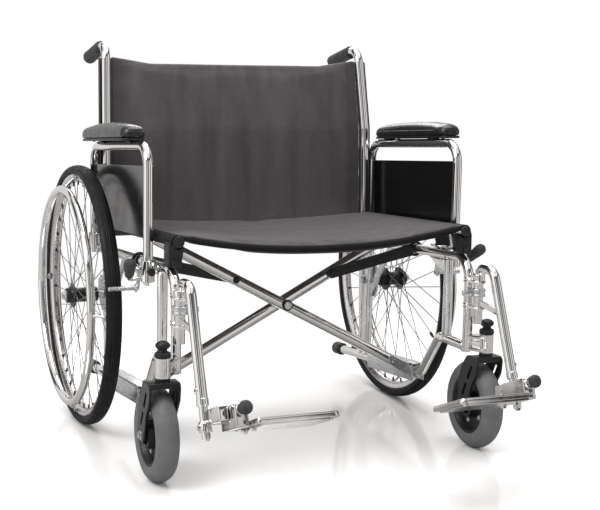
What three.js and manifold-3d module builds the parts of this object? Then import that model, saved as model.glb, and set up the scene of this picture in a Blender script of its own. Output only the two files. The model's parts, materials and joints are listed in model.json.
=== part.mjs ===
// A folding manual wheelchair with an extra-wide sling seat.
// Millimetres. +X is the sitter's left, the chair faces -Y and +Z is up.
// Every side piece is shaped for the sitter's left and mirrored for the right.

import * as THREE from 'three';
import { mergeVertices } from 'three/addons/utils/BufferGeometryUtils.js';
import Module from 'manifold-3d';

// ---- driving dimensions ----

const FRAME_X = 340; // middle plane of a side frame
const TUBE_R = 11.1; // frame tube
const GAP = 0.4; // running clearance between pieces that meet
const ORIGIN_Y = 281.5; // moves the rear axle back so that the origin is under the chair's middle

const AXLE = { y: 0, z: 305, r: 6, spacerR: 10, capR: 11, capLength: 6, nutR: 9, nutLength: 9 };
const WHEEL = { x: 410, r: 305, tyreInner: 284.5, tyreHalf: 17.5, rimInner: 268, rimHalf: 11 };
const WHEEL_SIDES = 32;
const HUB = { inner: 372, outer: 446, r: 18, flangeR: 29, flangeOffset: 20, flangeHalf: 2 };
const SPOKES = { count: 36, size: 2.4, lead: 0.13, rootR: 25 };
const HANDRIM = { x: 449, r: 249, tubeR: 9.5, tubeSides: 6, tabs: 4, stayR: 3.5, tabHalf: 8 };

// Rails are given by their height at the rear axle and their rise per mm of Y.
const UPPER_RAIL = { z: 407.5, slope: -0.0588, back: 33, bend: 50 };
const LOWER_RAIL = { z: 103.7, slope: -0.0847, back: 176 };
const FRONT_POST = { y: -513, bottom: 229 };
const MID_POST_Y = -419;
const AXLE_POST_Y = -6;
const STEP_TUBE = { z: 237, top: -388, foot: -303, bend: 28 }; // the lower tube's rise to the front post
const CANE = [[340, 18, 98], [338, 41, 690], [330, 75, 892], [330, 228, 858]];
const CANE_BEND = 36;
const AXLE_PLATE = [[-30, 282], [-14, 262], [20, 262], [52, 290], [52, 330], [30, 346], [-20, 346],
  [-30, 330]];
const AXLE_PLATE_THICKNESS = 7;
const GUSSET = { top: -127, width: 16, foot: [[-14, 264], [0, 276]], thickness: 6 };
const PUSH_GRIP = { length: 112, r: 16, wall: 5 };
const RAIL_TIP = { length: 36, r: 16.5, wall: 5 };

const CASTER = { x: 375.5, y: -537, trail: 40, r: 100, tyreInner: 66, half: 25, axleR: 5 };
const CASTER_SIDES = 24;
const CASTER_BOSS = { r: 13, half: 26 };
const HOUSING = { bottom: 227.5, top: 270, r: 16, strap: 8 };
const CAP = [[0, 16], [8, 16], [12, 9], [16, 9], [20, 15], [28, 14], [34, 6]]; // height, radius
const FORK = { crownBottom: 206, crownTop: 219, crownFront: -16, crownBack: 20, legIn: 28.5, legOut: 33.5,
  stemR: 6, collarR: 15 };

const BRACE = { y: -252, r: 13, layer: 16.5, railX: 332 };
const SEAT_RAIL = { z: 467.6, front: -503, back: -8 }; // height at the rear axle
const SADDLE = { front: -499, back: -461, in: 17, out: 12, bottom: 440, lip: 4, clearance: 2 };
const FOOT_CHANNEL = { front: -288, back: -40, width: 32, height: 42 };
const FOLD_LIMIT = THREE.MathUtils.degToRad(48);
const BOLT = { r: 5, head: 10, headLength: 5, clearance: 1.6 };
const LINK = { width: 24, thickness: 6, wristR: 13, eyeR: 19, nutR: 8, nutLength: 5, side: 2.5 };

const ARM = { x: 365, front: -397, back: 46, bottom: 402, topFront: 684, topBack: 652, r: 10.5, bend: 45 };
const SOCKET = { r: 14.5, bottom: 400, top: 446 };
const PANEL = { thickness: 4, drop: 42, bottomFront: 492, bottomBack: 466, gap: 3 };
const PAD = { x: 379, front: -348, back: 20, half: 28, thickness: 38, corner: 16 };
const LOCK = { pinR: 3, knobR: 8, knobLength: 16, z: 424 };

const HANGER = { x: 343, pivotY: -548, bottom: 298, top: 424, elbowY: -610, elbowBend: 28 };
const BRACKET = { heights: [330, 388], thickness: 6 };
const COLLAR = { bottom: 394, top: 408, r: 14 };
const LATCH = { bottom: 358, top: 376, r: 16, leverReach: 40, leverHalf: 5 };
const HANGER_END = { x: 345, y: -700, z: 208 };
const FOOT_TUBE = { r: 8.8, inside: 95, below: 62 };
const FLIP = { x: 310, back: [-706, 185], front: [-828, 234], pinR: 8, knuckleR: 13 };
const KNUCKLE = { start: 0.22, end: 0.94 }; // shares of the way along the flip pin
const FOOTPLATE = { inner: 128, outer: 296, heel: -742, heelZ: 173, length: 132, thickness: 9, corner: 22 };
const FOOTPLATE_WEB = { width: 20, length: 90, rise: 18 };
const BUMPER = { neckR: 9, neckLength: 10, r: 13.5, start: 5, end: 20 };

const BRAKE = { plateX: 356, thickness: 5, pivot: [-362, 404], shoePivot: [-330, 415], pinR: 4,
  pinReach: 16 };
const BRAKE_CLAMP = { y: -348, half: 24, halfHeight: 17 };
const BRAKE_PLATE = [[-379, 386], [-350, 386], [-312, 402], [-312, 424], [-379, 424]];
const BRAKE_LEVER = { bossR: 11, bossLength: 7, armR: 4, elbow: [400, -376, 402], tip: [414, -432, 444],
  bend: 12 };
const BRAKE_GRIP = { length: 48, r: 13, wall: 10 };
const SHOE = { y: -315, z: 373, barR: 5, outer: 428, armHalf: 9, footHalf: 6 };

const SEAT = { sag: 28, thickness: 5, rise: 15, steps: 7, inset: 1 };
const BACK = { edgeX: 330, profile: [[43, 436], [51, 690], [77, 862], [71, 862], [45, 690], [37, 436]] };

// ---- looks ----

const paint = (color, roughness, metalness) =>
  new THREE.MeshStandardMaterial({ color, roughness, metalness });

const CHROME = paint(0xd9dbde, 0.12, 1);
const SATIN_STEEL = paint(0xb9bcc0, 0.35, 1);
const CAST_ALUMINIUM = paint(0xc4c6c8, 0.3, 1);
const BLACK_PAINT = paint(0x17181a, 0.45, 0.2);
const BLACK_PLASTIC = paint(0x141416, 0.5, 0);
const GLOSSY_BLACK = paint(0x101012, 0.18, 0);
const BLACK_RUBBER = paint(0x1b1b1c, 0.8, 0);
const GREY_RUBBER = paint(0x6d7074, 0.65, 0);
const CHARCOAL_CLOTH = paint(0x2b2a2d, 0.85, 0);
const BLACK_VINYL = paint(0x161618, 0.35, 0);

// ---- solids ----

const wasm = await Module();
wasm.setup();

function toSolid(geometry) {
  const bare = geometry.clone();
  bare.deleteAttribute('normal');
  bare.deleteAttribute('uv');
  const merged = mergeVertices(bare, 1e-4);
  return new wasm.Manifold(new wasm.Mesh({
    numProp: 3,
    vertProperties: new Float32Array(merged.attributes.position.array),
    triVerts: new Uint32Array(merged.index.array),
  }));
}

function toGeometry(solid) {
  const mesh = solid.getMesh();
  const geometry = new THREE.BufferGeometry();
  geometry.setAttribute('position', new THREE.BufferAttribute(mesh.vertProperties, 3));
  geometry.setIndex(new THREE.BufferAttribute(mesh.triVerts, 1));
  return geometry;
}

function join(...geometries) {
  return toGeometry(geometries.map(toSolid).reduce((whole, next) => whole.add(next)));
}

function cut(geometry, ...tools) {
  return toGeometry(tools.map(toSolid).reduce((rest, tool) => rest.subtract(tool), toSolid(geometry)));
}

function mirrored(geometry) {
  const copy = (geometry.index ? geometry.toNonIndexed() : geometry.clone()).scale(-1, 1, 1);
  const at = copy.attributes.position;
  for (let i = 0; i < at.count; i += 3) {
    const second = new THREE.Vector3().fromBufferAttribute(at, i + 1);
    const third = new THREE.Vector3().fromBufferAttribute(at, i + 2);
    at.setXYZ(i + 1, third.x, third.y, third.z);
    at.setXYZ(i + 2, second.x, second.y, second.z);
  }
  return mergeVertices(bareOf(copy), 1e-4);
}

function bareOf(geometry) {
  geometry.deleteAttribute('normal');
  geometry.deleteAttribute('uv');
  return geometry;
}

// ---- shapes ----

const vec = (x, y, z) => new THREE.Vector3(x, y, z);

// A path through given points, taken one point per step.
class PointPath extends THREE.Curve {
  constructor(points) {
    super();
    this.points = points;
  }

  getPoint(t, target = new THREE.Vector3()) {
    const last = this.points.length - 1;
    const place = THREE.MathUtils.clamp(t, 0, 1) * last;
    const first = Math.min(Math.floor(place), last - 1);
    return target.lerpVectors(this.points[first], this.points[first + 1], place - first);
  }

  getUtoTmapping(u) {
    return u;
  }
}

// The corner list with every inner corner turned into an arc of the given radius.
function rounded(corners, radius, steps = 3) {
  const points = [corners[0]];
  for (let i = 1; i < corners.length - 1; i += 1) {
    const into = corners[i].clone().sub(corners[i - 1]).normalize();
    const out = corners[i + 1].clone().sub(corners[i]).normalize();
    const turn = into.angleTo(out);
    const start = corners[i].clone().addScaledVector(into, -radius * Math.tan(turn / 2));
    const inward = out.clone().sub(into).normalize();
    const centre = corners[i].clone().addScaledVector(inward, radius / Math.cos(turn / 2));
    const axis = into.clone().cross(out).normalize();
    for (let k = 0; k <= steps; k += 1) {
      const arm = start.clone().sub(centre).applyAxisAngle(axis, (turn * k) / steps);
      points.push(arm.add(centre));
    }
  }
  points.push(corners[corners.length - 1]);
  return points;
}

function circle(radius, sides) {
  const corners = [];
  for (let i = 0; i < sides; i += 1) {
    const angle = (2 * Math.PI * (i + 0.5)) / sides;
    corners.push(new THREE.Vector2(radius * Math.cos(angle), radius * Math.sin(angle)));
  }
  return new THREE.Shape(corners);
}

function tube(corners, radius, bend = 0, sides = 10) {
  const points = bend > 0 ? rounded(corners, bend) : corners;
  return new THREE.ExtrudeGeometry(circle(radius, sides), {
    steps: points.length - 1,
    extrudePath: new PointPath(points),
  });
}

const rod = (from, to, radius, sides = 10) => tube([from, to], radius, 0, sides);

function box(low, high) {
  const size = high.clone().sub(low);
  const middle = low.clone().add(high).multiplyScalar(0.5);
  return new THREE.BoxGeometry(size.x, size.y, size.z).translate(middle.x, middle.y, middle.z);
}

// A flat plate drawn in the Y-Z plane and given its thickness along X.
function sidePlate(corners, x, thickness) {
  const shape = new THREE.Shape(corners.map(([y, z]) => new THREE.Vector2(y, z)));
  const plate = new THREE.ExtrudeGeometry(shape, { depth: thickness, bevelEnabled: false });
  plate.rotateX(Math.PI / 2).rotateZ(Math.PI / 2);
  return plate.translate(x, 0, 0);
}

// A flat plate drawn in the X-Y plane and given its thickness upwards.
function floorPlate(corners, z, thickness) {
  const shape = new THREE.Shape(corners.map(([x, y]) => new THREE.Vector2(x, y)));
  return new THREE.ExtrudeGeometry(shape, { depth: thickness, bevelEnabled: false }).translate(0, 0, z);
}

// A solid of revolution about X, given as [distance along X, radius] corners round its outline.
// An outline that starts on the axis also ends on it.
function turned(outline, sides) {
  const points = outline.map(([x, r]) => new THREE.Vector2(r, x));
  if (THREE.ShapeUtils.isClockWise(points)) {
    points.reverse();
  }
  if (outline[0][1] > 0) {
    points.push(points[0].clone());
  }
  return new THREE.LatheGeometry(points, sides, Math.PI / sides).rotateZ(-Math.PI / 2);
}

const flatRadius = (radius, sides) => radius / Math.cos(Math.PI / sides);
const boreRadius = (radius, sides = 10) => flatRadius(radius + GAP, sides);
const upperRailZ = (y) => UPPER_RAIL.z + UPPER_RAIL.slope * y;
const lowerRailZ = (y) => LOWER_RAIL.z + LOWER_RAIL.slope * y;
const seatRailZ = (y) => SEAT_RAIL.z + UPPER_RAIL.slope * y;

function between(a, b, t) {
  return a + (b - a) * t;
}

// ---- side frame ----

const canePath = () => rounded(CANE.map(([x, y, z]) => vec(x, y, z)), CANE_BEND, 4);

function lowerRailPath() {
  return rounded([
    vec(FRAME_X, FRONT_POST.y, STEP_TUBE.z),
    vec(FRAME_X, STEP_TUBE.top, STEP_TUBE.z),
    vec(FRAME_X, STEP_TUBE.foot, lowerRailZ(STEP_TUBE.foot)),
    vec(FRAME_X, LOWER_RAIL.back, lowerRailZ(LOWER_RAIL.back)),
  ], STEP_TUBE.bend);
}

function upright(y, bottom, top) {
  return rod(vec(FRAME_X, y, bottom), vec(FRAME_X, y, top), TUBE_R);
}

function axlePlate() {
  return sidePlate(AXLE_PLATE, FRAME_X + TUBE_R - 2, AXLE_PLATE_THICKNESS);
}

function gusset() {
  const top = upperRailZ(GUSSET.top);
  const corners = [[GUSSET.top, top + 4], [GUSSET.top - GUSSET.width, top - 6], ...GUSSET.foot];
  return sidePlate(corners, FRAME_X - GUSSET.thickness / 2, GUSSET.thickness);
}

function casterHousing() {
  const stem = vec(CASTER.x, CASTER.y, 0);
  const heights = [HOUSING.bottom + 3, HOUSING.top - HOUSING.strap - 3];
  const plates = heights.map((z) => floorPlate([
    [FRAME_X - 8, FRONT_POST.y - 6],
    [CASTER.x - 10, CASTER.y - 12],
    [CASTER.x + 6, CASTER.y + 12],
    [FRAME_X + 8, FRONT_POST.y + 9],
  ], z, HOUSING.strap));
  const barrel = rod(stem.clone().setZ(HOUSING.bottom), stem.clone().setZ(HOUSING.top), HOUSING.r, 16);
  return [barrel, ...plates];
}

function hangerBrackets() {
  return BRACKET.heights.map((z) => floorPlate([
    [FRAME_X - 9, FRONT_POST.y],
    [HANGER.x - 16, HANGER.pivotY - 4],
    [HANGER.x - 8, HANGER.pivotY - 16],
    [HANGER.x + 8, HANGER.pivotY - 16],
    [HANGER.x + 16, HANGER.pivotY - 4],
    [FRAME_X + 9, FRONT_POST.y],
  ], z, BRACKET.thickness));
}

const armPost = (y, bottom, top) => [vec(ARM.x, y, bottom), vec(ARM.x, y, top)];

function armSockets() {
  return [ARM.front, ARM.back].flatMap((y) => [
    rod(...armPost(y, SOCKET.bottom, SOCKET.top), SOCKET.r, 16),
    box(vec(FRAME_X, y - 12, upperRailZ(y) - 7), vec(ARM.x, y + 5, upperRailZ(y) + 9)),
  ]);
}

// Bores run past the material by this much at each end.
const PAST = 9;

function uprightBore(x, y, bottom, top, radius) {
  return rod(vec(x, y, bottom - PAST), vec(x, y, top + PAST), boreRadius(radius));
}

function frameBores() {
  const lock = lockAxis();
  const [lowBracket, highBracket] = BRACKET.heights;
  return [
    uprightBore(CASTER.x, CASTER.y, HOUSING.bottom, HOUSING.top, FORK.stemR),
    uprightBore(HANGER.x, HANGER.pivotY, lowBracket, highBracket + BRACKET.thickness, TUBE_R),
    uprightBore(ARM.x, ARM.front, SOCKET.bottom, SOCKET.top, ARM.r),
    uprightBore(ARM.x, ARM.back, SOCKET.bottom, SOCKET.top, ARM.r),
    rod(lock.clone().setY(lock.y - PAST), lock.clone().setY(lock.y + SOCKET.r), boreRadius(LOCK.pinR, 8), 8),
  ];
}

function sideFrame() {
  const topFront = vec(FRAME_X, FRONT_POST.y, upperRailZ(FRONT_POST.y));
  const postBottom = vec(FRAME_X, FRONT_POST.y, FRONT_POST.bottom);
  const railEnd = vec(FRAME_X, UPPER_RAIL.back, upperRailZ(UPPER_RAIL.back));
  const axleEnd = vec(FRAME_X, AXLE.y, AXLE.z);
  const tubes = join(
    tube([railEnd, topFront, postBottom], TUBE_R, UPPER_RAIL.bend),
    tube(lowerRailPath(), TUBE_R),
    tube(canePath(), TUBE_R),
    upright(MID_POST_Y, STEP_TUBE.z, upperRailZ(MID_POST_Y)),
    upright(AXLE_POST_Y, lowerRailZ(AXLE_POST_Y), upperRailZ(AXLE_POST_Y)),
    rod(axleEnd.clone().setX(FRAME_X - TUBE_R - AXLE.nutLength), axleEnd, AXLE.nutR, 6),
    axlePlate(),
    gusset(),
    ...casterHousing(),
    ...hangerBrackets(),
    ...armSockets(),
  );
  return cut(tubes, ...frameBores());
}

function sleeve(from, to, bore, radius, depth) {
  const along = to.clone().sub(from).normalize();
  const mouth = from.clone().addScaledVector(along, -1);
  const bottom = from.clone().addScaledVector(along, depth);
  return cut(rod(from, to, radius, 14), rod(mouth, bottom, boreRadius(bore)));
}

// A grip over the last stretch of a bar that ends at end and runs along along.
function endGrip(end, along, bore, grip) {
  const from = end.clone().addScaledVector(along, -grip.length);
  return sleeve(from, end.clone().addScaledVector(along, grip.wall), bore, grip.r, grip.length + GAP);
}

function pushGrip() {
  const [end, start] = canePath().reverse();
  return endGrip(end, end.clone().sub(start).normalize(), TUBE_R, PUSH_GRIP);
}

function railTip() {
  const end = vec(FRAME_X, LOWER_RAIL.back, lowerRailZ(LOWER_RAIL.back));
  return endGrip(end, vec(0, 1, LOWER_RAIL.slope).normalize(), TUBE_R, RAIL_TIP);
}

// The block on the upper rail that the seat rail drops into, open at its top.
function seatSaddle() {
  const seatZ = seatRailZ((SADDLE.front + SADDLE.back) / 2);
  const block = box(vec(FRAME_X - SADDLE.in, SADDLE.front, SADDLE.bottom),
    vec(FRAME_X + SADDLE.out, SADDLE.back, seatZ + SADDLE.lip));
  const rail = tube([vec(FRAME_X, 0, upperRailZ(0)), vec(FRAME_X, FRONT_POST.y, upperRailZ(FRONT_POST.y)),
    vec(FRAME_X, FRONT_POST.y, FRONT_POST.bottom)], boreRadius(TUBE_R), UPPER_RAIL.bend);
  const front = SADDLE.front - PAST;
  const back = SADDLE.back + PAST;
  const reach = TUBE_R + SADDLE.clearance;
  const seatRail = rod(vec(BRACE.railX, front, seatRailZ(front)), vec(BRACE.railX, back, seatRailZ(back)),
    reach);
  const above = box(vec(BRACE.railX - reach, front, seatZ), vec(BRACE.railX + reach, back, seatZ + TUBE_R));
  return cut(block, rail, seatRail, above);
}

// ---- rear wheel, shaped about its own centre with X as its axle ----

function wheelTyre() {
  const outer = flatRadius(WHEEL.r, WHEEL_SIDES);
  const inner = WHEEL.tyreInner;
  const half = WHEEL.tyreHalf;
  return turned([[-12, inner], [12, inner], [half, inner + 8], [half - 1, outer - 7], [7, outer], [-7, outer],
    [1 - half, outer - 7], [-half, inner + 8]], WHEEL_SIDES);
}

function wheelRim() {
  const outer = WHEEL.tyreInner - 2 * GAP;
  const half = WHEEL.rimHalf;
  return turned([[-5, WHEEL.rimInner], [5, WHEEL.rimInner], [half, outer - 9], [half, outer], [-half, outer],
    [-half, outer - 9]], WHEEL_SIDES);
}

function spoke(index) {
  const flangeSide = index % 2 === 0 ? 1 : -1;
  const lean = Math.floor(index / 2) % 2 === 0 ? SPOKES.lead : -SPOKES.lead;
  const rimAngle = (2 * Math.PI * index) / SPOKES.count;
  const end = WHEEL.rimInner - 2;
  const root = vec(flangeSide * HUB.flangeOffset, SPOKES.rootR * Math.cos(rimAngle + lean),
    SPOKES.rootR * Math.sin(rimAngle + lean));
  return rod(root, vec(0, end * Math.cos(rimAngle), end * Math.sin(rimAngle)), SPOKES.size / Math.SQRT2, 4);
}

function wheelHub() {
  const start = HUB.inner - WHEEL.x;
  const end = HUB.outer - WHEEL.x;
  const offset = HUB.flangeOffset;
  const half = HUB.flangeHalf;
  const barrel = turned([[start, 0], [start, HUB.r], [-offset - half, HUB.r], [-offset - half, HUB.flangeR],
    [half - offset, HUB.flangeR], [half - offset, HUB.r], [offset - half, HUB.r], [offset - half, HUB.flangeR],
    [offset + half, HUB.flangeR], [offset + half, HUB.r], [end, HUB.r], [end, 0]], 14);
  const spokes = Array.from({ length: SPOKES.count }, (_, index) => spoke(index));
  return cut(join(barrel, ...spokes), rod(vec(start - 5, 0, 0), vec(end + 5, 0, 0), boreRadius(AXLE.r)));
}

function handrim() {
  const centre = HANDRIM.x - WHEEL.x;
  const ring = Array.from({ length: HANDRIM.tubeSides }, (_, i) => {
    const angle = (2 * Math.PI * i) / HANDRIM.tubeSides;
    return [centre + HANDRIM.tubeR * Math.cos(angle), HANDRIM.r + HANDRIM.tubeR * Math.sin(angle)];
  });
  const tabs = Array.from({ length: HANDRIM.tabs }, (_, i) => {
    const foot = vec(WHEEL.rimHalf + 5, 0, WHEEL.rimInner + 8);
    const stay = rod(foot, vec(centre, 0, HANDRIM.r), HANDRIM.stayR, 6);
    const pad = box(vec(WHEEL.rimHalf + GAP, -HANDRIM.tabHalf, WHEEL.rimInner + 5),
      vec(WHEEL.rimHalf + 6, HANDRIM.tabHalf, WHEEL.rimInner + 13));
    return join(stay, pad).rotateX((2 * Math.PI * i) / HANDRIM.tabs);
  });
  return join(turned(ring, WHEEL_SIDES), ...tabs);
}

function wheelAxle() {
  const at = (x) => vec(x, AXLE.y, AXLE.z);
  const start = FRAME_X + TUBE_R + AXLE_PLATE_THICKNESS - 2 + 2 * GAP;
  const cap = HUB.outer + GAP;
  return join(
    rod(at(start), at(cap + AXLE.capLength - 2), AXLE.r),
    rod(at(cap), at(cap + AXLE.capLength), AXLE.capR, 12),
    rod(at(start), at(HUB.inner - GAP), AXLE.spacerR, 12),
  );
}

// ---- caster, shaped about the stem's foot on the floor ----

function casterFork() {
  const { crownFront, crownBack, crownTop, crownBottom, legIn, legOut } = FORK;
  const trail = CASTER.trail;
  const leg = (x) => sidePlate([[crownFront, crownTop], [crownBack, crownTop], [trail + 16, 112],
    [trail + 12, 88], [trail - 12, 88], [trail - 18, 108]], x, legOut - legIn);
  const above = (z) => vec(0, 0, z);
  const axleEnd = vec(legOut + 4, trail, CASTER.r);
  return join(
    leg(legIn),
    leg(-legOut),
    box(vec(-legOut, crownFront, crownBottom), vec(legOut, crownBack, crownTop)),
    rod(above(crownTop - 2), above(HOUSING.bottom - 2 * GAP), FORK.collarR, 14),
    rod(above(crownTop - 2), above(HOUSING.top - 3), FORK.stemR),
    rod(axleEnd.clone().setX(-axleEnd.x), axleEnd, CASTER.axleR, 8),
  );
}

function casterTyre() {
  const outer = flatRadius(CASTER.r, CASTER_SIDES);
  const half = CASTER.half;
  return turned([[-half + 4, CASTER.tyreInner], [half - 4, CASTER.tyreInner], [half, CASTER.tyreInner + 10],
    [half - 3, outer - 9], [12, outer], [-12, outer], [3 - half, outer - 9], [-half, CASTER.tyreInner + 10]],
    CASTER_SIDES);
}

function casterHub() {
  const outer = CASTER.tyreInner * Math.cos(Math.PI / CASTER_SIDES) - GAP;
  const disc = turned([[-20, 0], [-20, outer - 14], [-17, outer], [17, outer], [20, outer - 14], [20, 0]],
    CASTER_SIDES);
  const end = vec(CASTER_BOSS.half, 0, 0);
  const boss = rod(end.clone().negate(), end, CASTER_BOSS.r, 12);
  const past = vec(CASTER_BOSS.half + PAST, 0, 0);
  return cut(join(disc, boss), rod(past.clone().negate(), past, boreRadius(CASTER.axleR)));
}

function casterCap() {
  const start = HOUSING.top + GAP;
  const outline = CAP.map(([height, radius]) => [start + height, radius]);
  const [top] = outline[outline.length - 1];
  const cap = turned([[start, 0], ...outline, [top, 0]], 12).rotateY(-Math.PI / 2);
  return cap.translate(CASTER.x, CASTER.y, 0);
}

// ---- cross brace, seat rails and fold links ----

// The braces turn about lines that run along the lower rails.
const foldAxis = () => vec(0, 1, LOWER_RAIL.slope).normalize();
const braceFoot = () => vec(-FRAME_X, BRACE.y, lowerRailZ(BRACE.y));
const braceHead = () => vec(BRACE.railX, BRACE.y, seatRailZ(BRACE.y));

function braceMiddle() {
  const foot = braceFoot();
  const head = braceHead();
  return foot.lerp(head, FRAME_X / (FRAME_X + BRACE.railX));
}

const onBolt = (distance) => braceMiddle().addScaledVector(foldAxis(), distance);

// The brace that stands on the right side frame and carries the left seat rail.
// depth is how far behind the crossing its member runs.
function brace(depth) {
  const foot = braceFoot().setY(BRACE.y + depth);
  const head = braceHead().setY(BRACE.y + depth);
  const channel = box(
    vec(-FRAME_X - FOOT_CHANNEL.width / 2, 0, -FOOT_CHANNEL.height / 2),
    vec(-FRAME_X + FOOT_CHANNEL.width / 2, FOOT_CHANNEL.back - FOOT_CHANNEL.front, FOOT_CHANNEL.height / 2),
  ).rotateX(Math.atan(LOWER_RAIL.slope)).translate(0, FOOT_CHANNEL.front, lowerRailZ(FOOT_CHANNEL.front));
  const rail = rod(vec(BRACE.railX, SEAT_RAIL.front, seatRailZ(SEAT_RAIL.front)),
    vec(BRACE.railX, SEAT_RAIL.back, seatRailZ(SEAT_RAIL.back)), TUBE_R);
  const front = FOOT_CHANNEL.front - PAST;
  const back = FOOT_CHANNEL.back + PAST;
  const lowerRail = rod(vec(-FRAME_X, front, lowerRailZ(front)), vec(-FRAME_X, back, lowerRailZ(back)),
    boreRadius(TUBE_R));
  const reach = BRACE.layer + 2 * BRACE.r + PAST;
  const bolt = rod(onBolt(-reach), onBolt(reach), boreRadius(BOLT.r));
  return cut(join(channel, rod(foot, head, BRACE.r), rail), lowerRail, bolt);
}

function braceBolt() {
  const reach = BRACE.layer + BRACE.r + BOLT.clearance;
  return join(
    rod(onBolt(-reach - 1), onBolt(reach + 1), BOLT.r),
    rod(onBolt(-reach - BOLT.headLength), onBolt(-reach), BOLT.head, 6),
    rod(onBolt(reach), onBolt(reach + BOLT.headLength), BOLT.head, 6),
  );
}

// Where a fold link meets its brace: the place where the link fits both when open and when folded.
function linkGeometry() {
  const half = braceMiddle().distanceTo(braceFoot());
  const open = Math.atan2(braceMiddle().z - braceFoot().z, FRAME_X);
  const sines = Math.sin(open) + Math.sin(open + FOLD_LIMIT);
  const height = upperRailZ(BRACE.y) - braceFoot().z;
  const along = (4 * half * half * sines) / (4 * half * sines - 2 * height);
  return {
    hinge: vec(FRAME_X, BRACE.y, upperRailZ(BRACE.y)),
    meet: vec(along * Math.cos(open) - FRAME_X, BRACE.y, braceFoot().z + along * Math.sin(open)),
  };
}

// The left link runs in front of the rear brace, the right link behind the front one.
// An eye at one end turns on the upper rail; the other end lies beside the brace.
function foldLink(isLeft) {
  const { hinge, meet } = linkGeometry();
  const beside = BRACE.layer - BRACE.r - LINK.side;
  const y = BRACE.y + (isLeft ? beside - LINK.thickness : -beside);
  const angle = Math.atan2(meet.z - hinge.z, meet.x - hinge.x);
  const length = meet.distanceTo(hinge);
  const bar = box(vec(0, 0, -LINK.width / 2), vec(length, LINK.thickness, LINK.width / 2));
  const wrist = rod(vec(length, 0, 0), vec(length, LINK.thickness, 0), LINK.wristR);
  const nutY = isLeft ? -LINK.nutLength : LINK.thickness - 1;
  const nut = rod(vec(length, nutY, 0), vec(length, nutY + LINK.nutLength + 1, 0), LINK.nutR, 6);
  const eye = rod(vec(0, 0, 0), vec(0, LINK.thickness, 0), LINK.eyeR, 14);
  const link = join(bar, wrist, nut, eye).rotateY(-angle).translate(hinge.x, y, upperRailZ(y));
  const [front, back] = [y - PAST, y + LINK.thickness + PAST];
  const rail = rod(vec(FRAME_X, front, upperRailZ(front)), vec(FRAME_X, back, upperRailZ(back)),
    boreRadius(TUBE_R + GAP));
  return cut(link, rail);
}

// ---- arm, with its posts standing in the frame's sockets ----

const lockAxis = () => vec(ARM.x, ARM.front - SOCKET.r, LOCK.z);

function armFrame() {
  return tube([
    vec(ARM.x, ARM.front, ARM.bottom),
    vec(ARM.x, ARM.front, ARM.topFront),
    vec(ARM.x, ARM.back, ARM.topBack),
    vec(ARM.x, ARM.back, ARM.bottom),
  ], ARM.r, ARM.bend);
}

function armPanel() {
  const front = ARM.front + ARM.r + PANEL.gap;
  const back = ARM.back - ARM.r - PANEL.gap;
  return sidePlate([[front, PANEL.bottomFront], [back, PANEL.bottomBack], [back, ARM.topBack - PANEL.drop],
    [front, ARM.topFront - PANEL.drop]], ARM.x - PANEL.thickness / 2, PANEL.thickness);
}

function armPad() {
  const slope = (ARM.topBack - ARM.topFront) / (ARM.back - ARM.front);
  const length = PAD.back - PAD.front;
  const cut45 = PAD.corner;
  const outline = [[-PAD.half, cut45], [-PAD.half + cut45, 0], [PAD.half - cut45, 0], [PAD.half, cut45],
    [PAD.half, length - cut45], [PAD.half - cut45, length], [cut45 - PAD.half, length],
    [-PAD.half, length - cut45]];
  const baseZ = between(ARM.topFront, ARM.topBack, (PAD.front - ARM.front) / (ARM.back - ARM.front));
  return floorPlate(outline, 0, PAD.thickness).rotateX(Math.atan(slope))
    .translate(PAD.x, PAD.front, baseZ + ARM.r + 2 * GAP);
}

function armLock() {
  const at = lockAxis();
  return join(
    rod(vec(at.x, at.y - 4, at.z), vec(at.x, at.y + SOCKET.r - ARM.r - 3 * GAP, at.z), LOCK.pinR, 8),
    rod(vec(at.x, at.y - LOCK.knobLength, at.z), vec(at.x, at.y - 2 * GAP, at.z), LOCK.knobR, 12),
  );
}

// ---- front rigging ----

const hangerEnd = () => vec(HANGER_END.x, HANGER_END.y, HANGER_END.z);

function hangerDirection() {
  return hangerEnd().sub(vec(HANGER.x, HANGER.elbowY, HANGER.top)).normalize();
}

function hanger() {
  const body = tube([
    vec(HANGER.x, HANGER.pivotY, HANGER.bottom),
    vec(HANGER.x, HANGER.pivotY, HANGER.top),
    vec(HANGER.x, HANGER.elbowY, HANGER.top),
    hangerEnd(),
  ], TUBE_R, HANGER.elbowBend);
  const along = hangerDirection();
  const bore = rod(hangerEnd().addScaledVector(along, PAST),
    hangerEnd().addScaledVector(along, -FOOT_TUBE.inside - 4), boreRadius(FOOT_TUBE.r));
  const pivot = (z) => vec(HANGER.x, HANGER.pivotY, z);
  const collar = rod(pivot(COLLAR.bottom + GAP), pivot(COLLAR.top), COLLAR.r, 12);
  return cut(join(body, collar), bore);
}

function hangerLatch() {
  const at = (z) => vec(HANGER.x, HANGER.pivotY, z);
  const collar = rod(at(LATCH.bottom), at(LATCH.top), LATCH.r, 12);
  const lever = box(vec(HANGER.x - LATCH.leverReach, HANGER.pivotY - LATCH.leverHalf, LATCH.bottom + 3),
    vec(HANGER.x - TUBE_R, HANGER.pivotY + LATCH.leverHalf, LATCH.top - 3));
  return cut(join(collar, lever), uprightBore(HANGER.x, HANGER.pivotY, LATCH.bottom, LATCH.top, TUBE_R));
}

const flipAxis = () => [FLIP.back, FLIP.front].map(([y, z]) => vec(FLIP.x, y, z));

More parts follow.
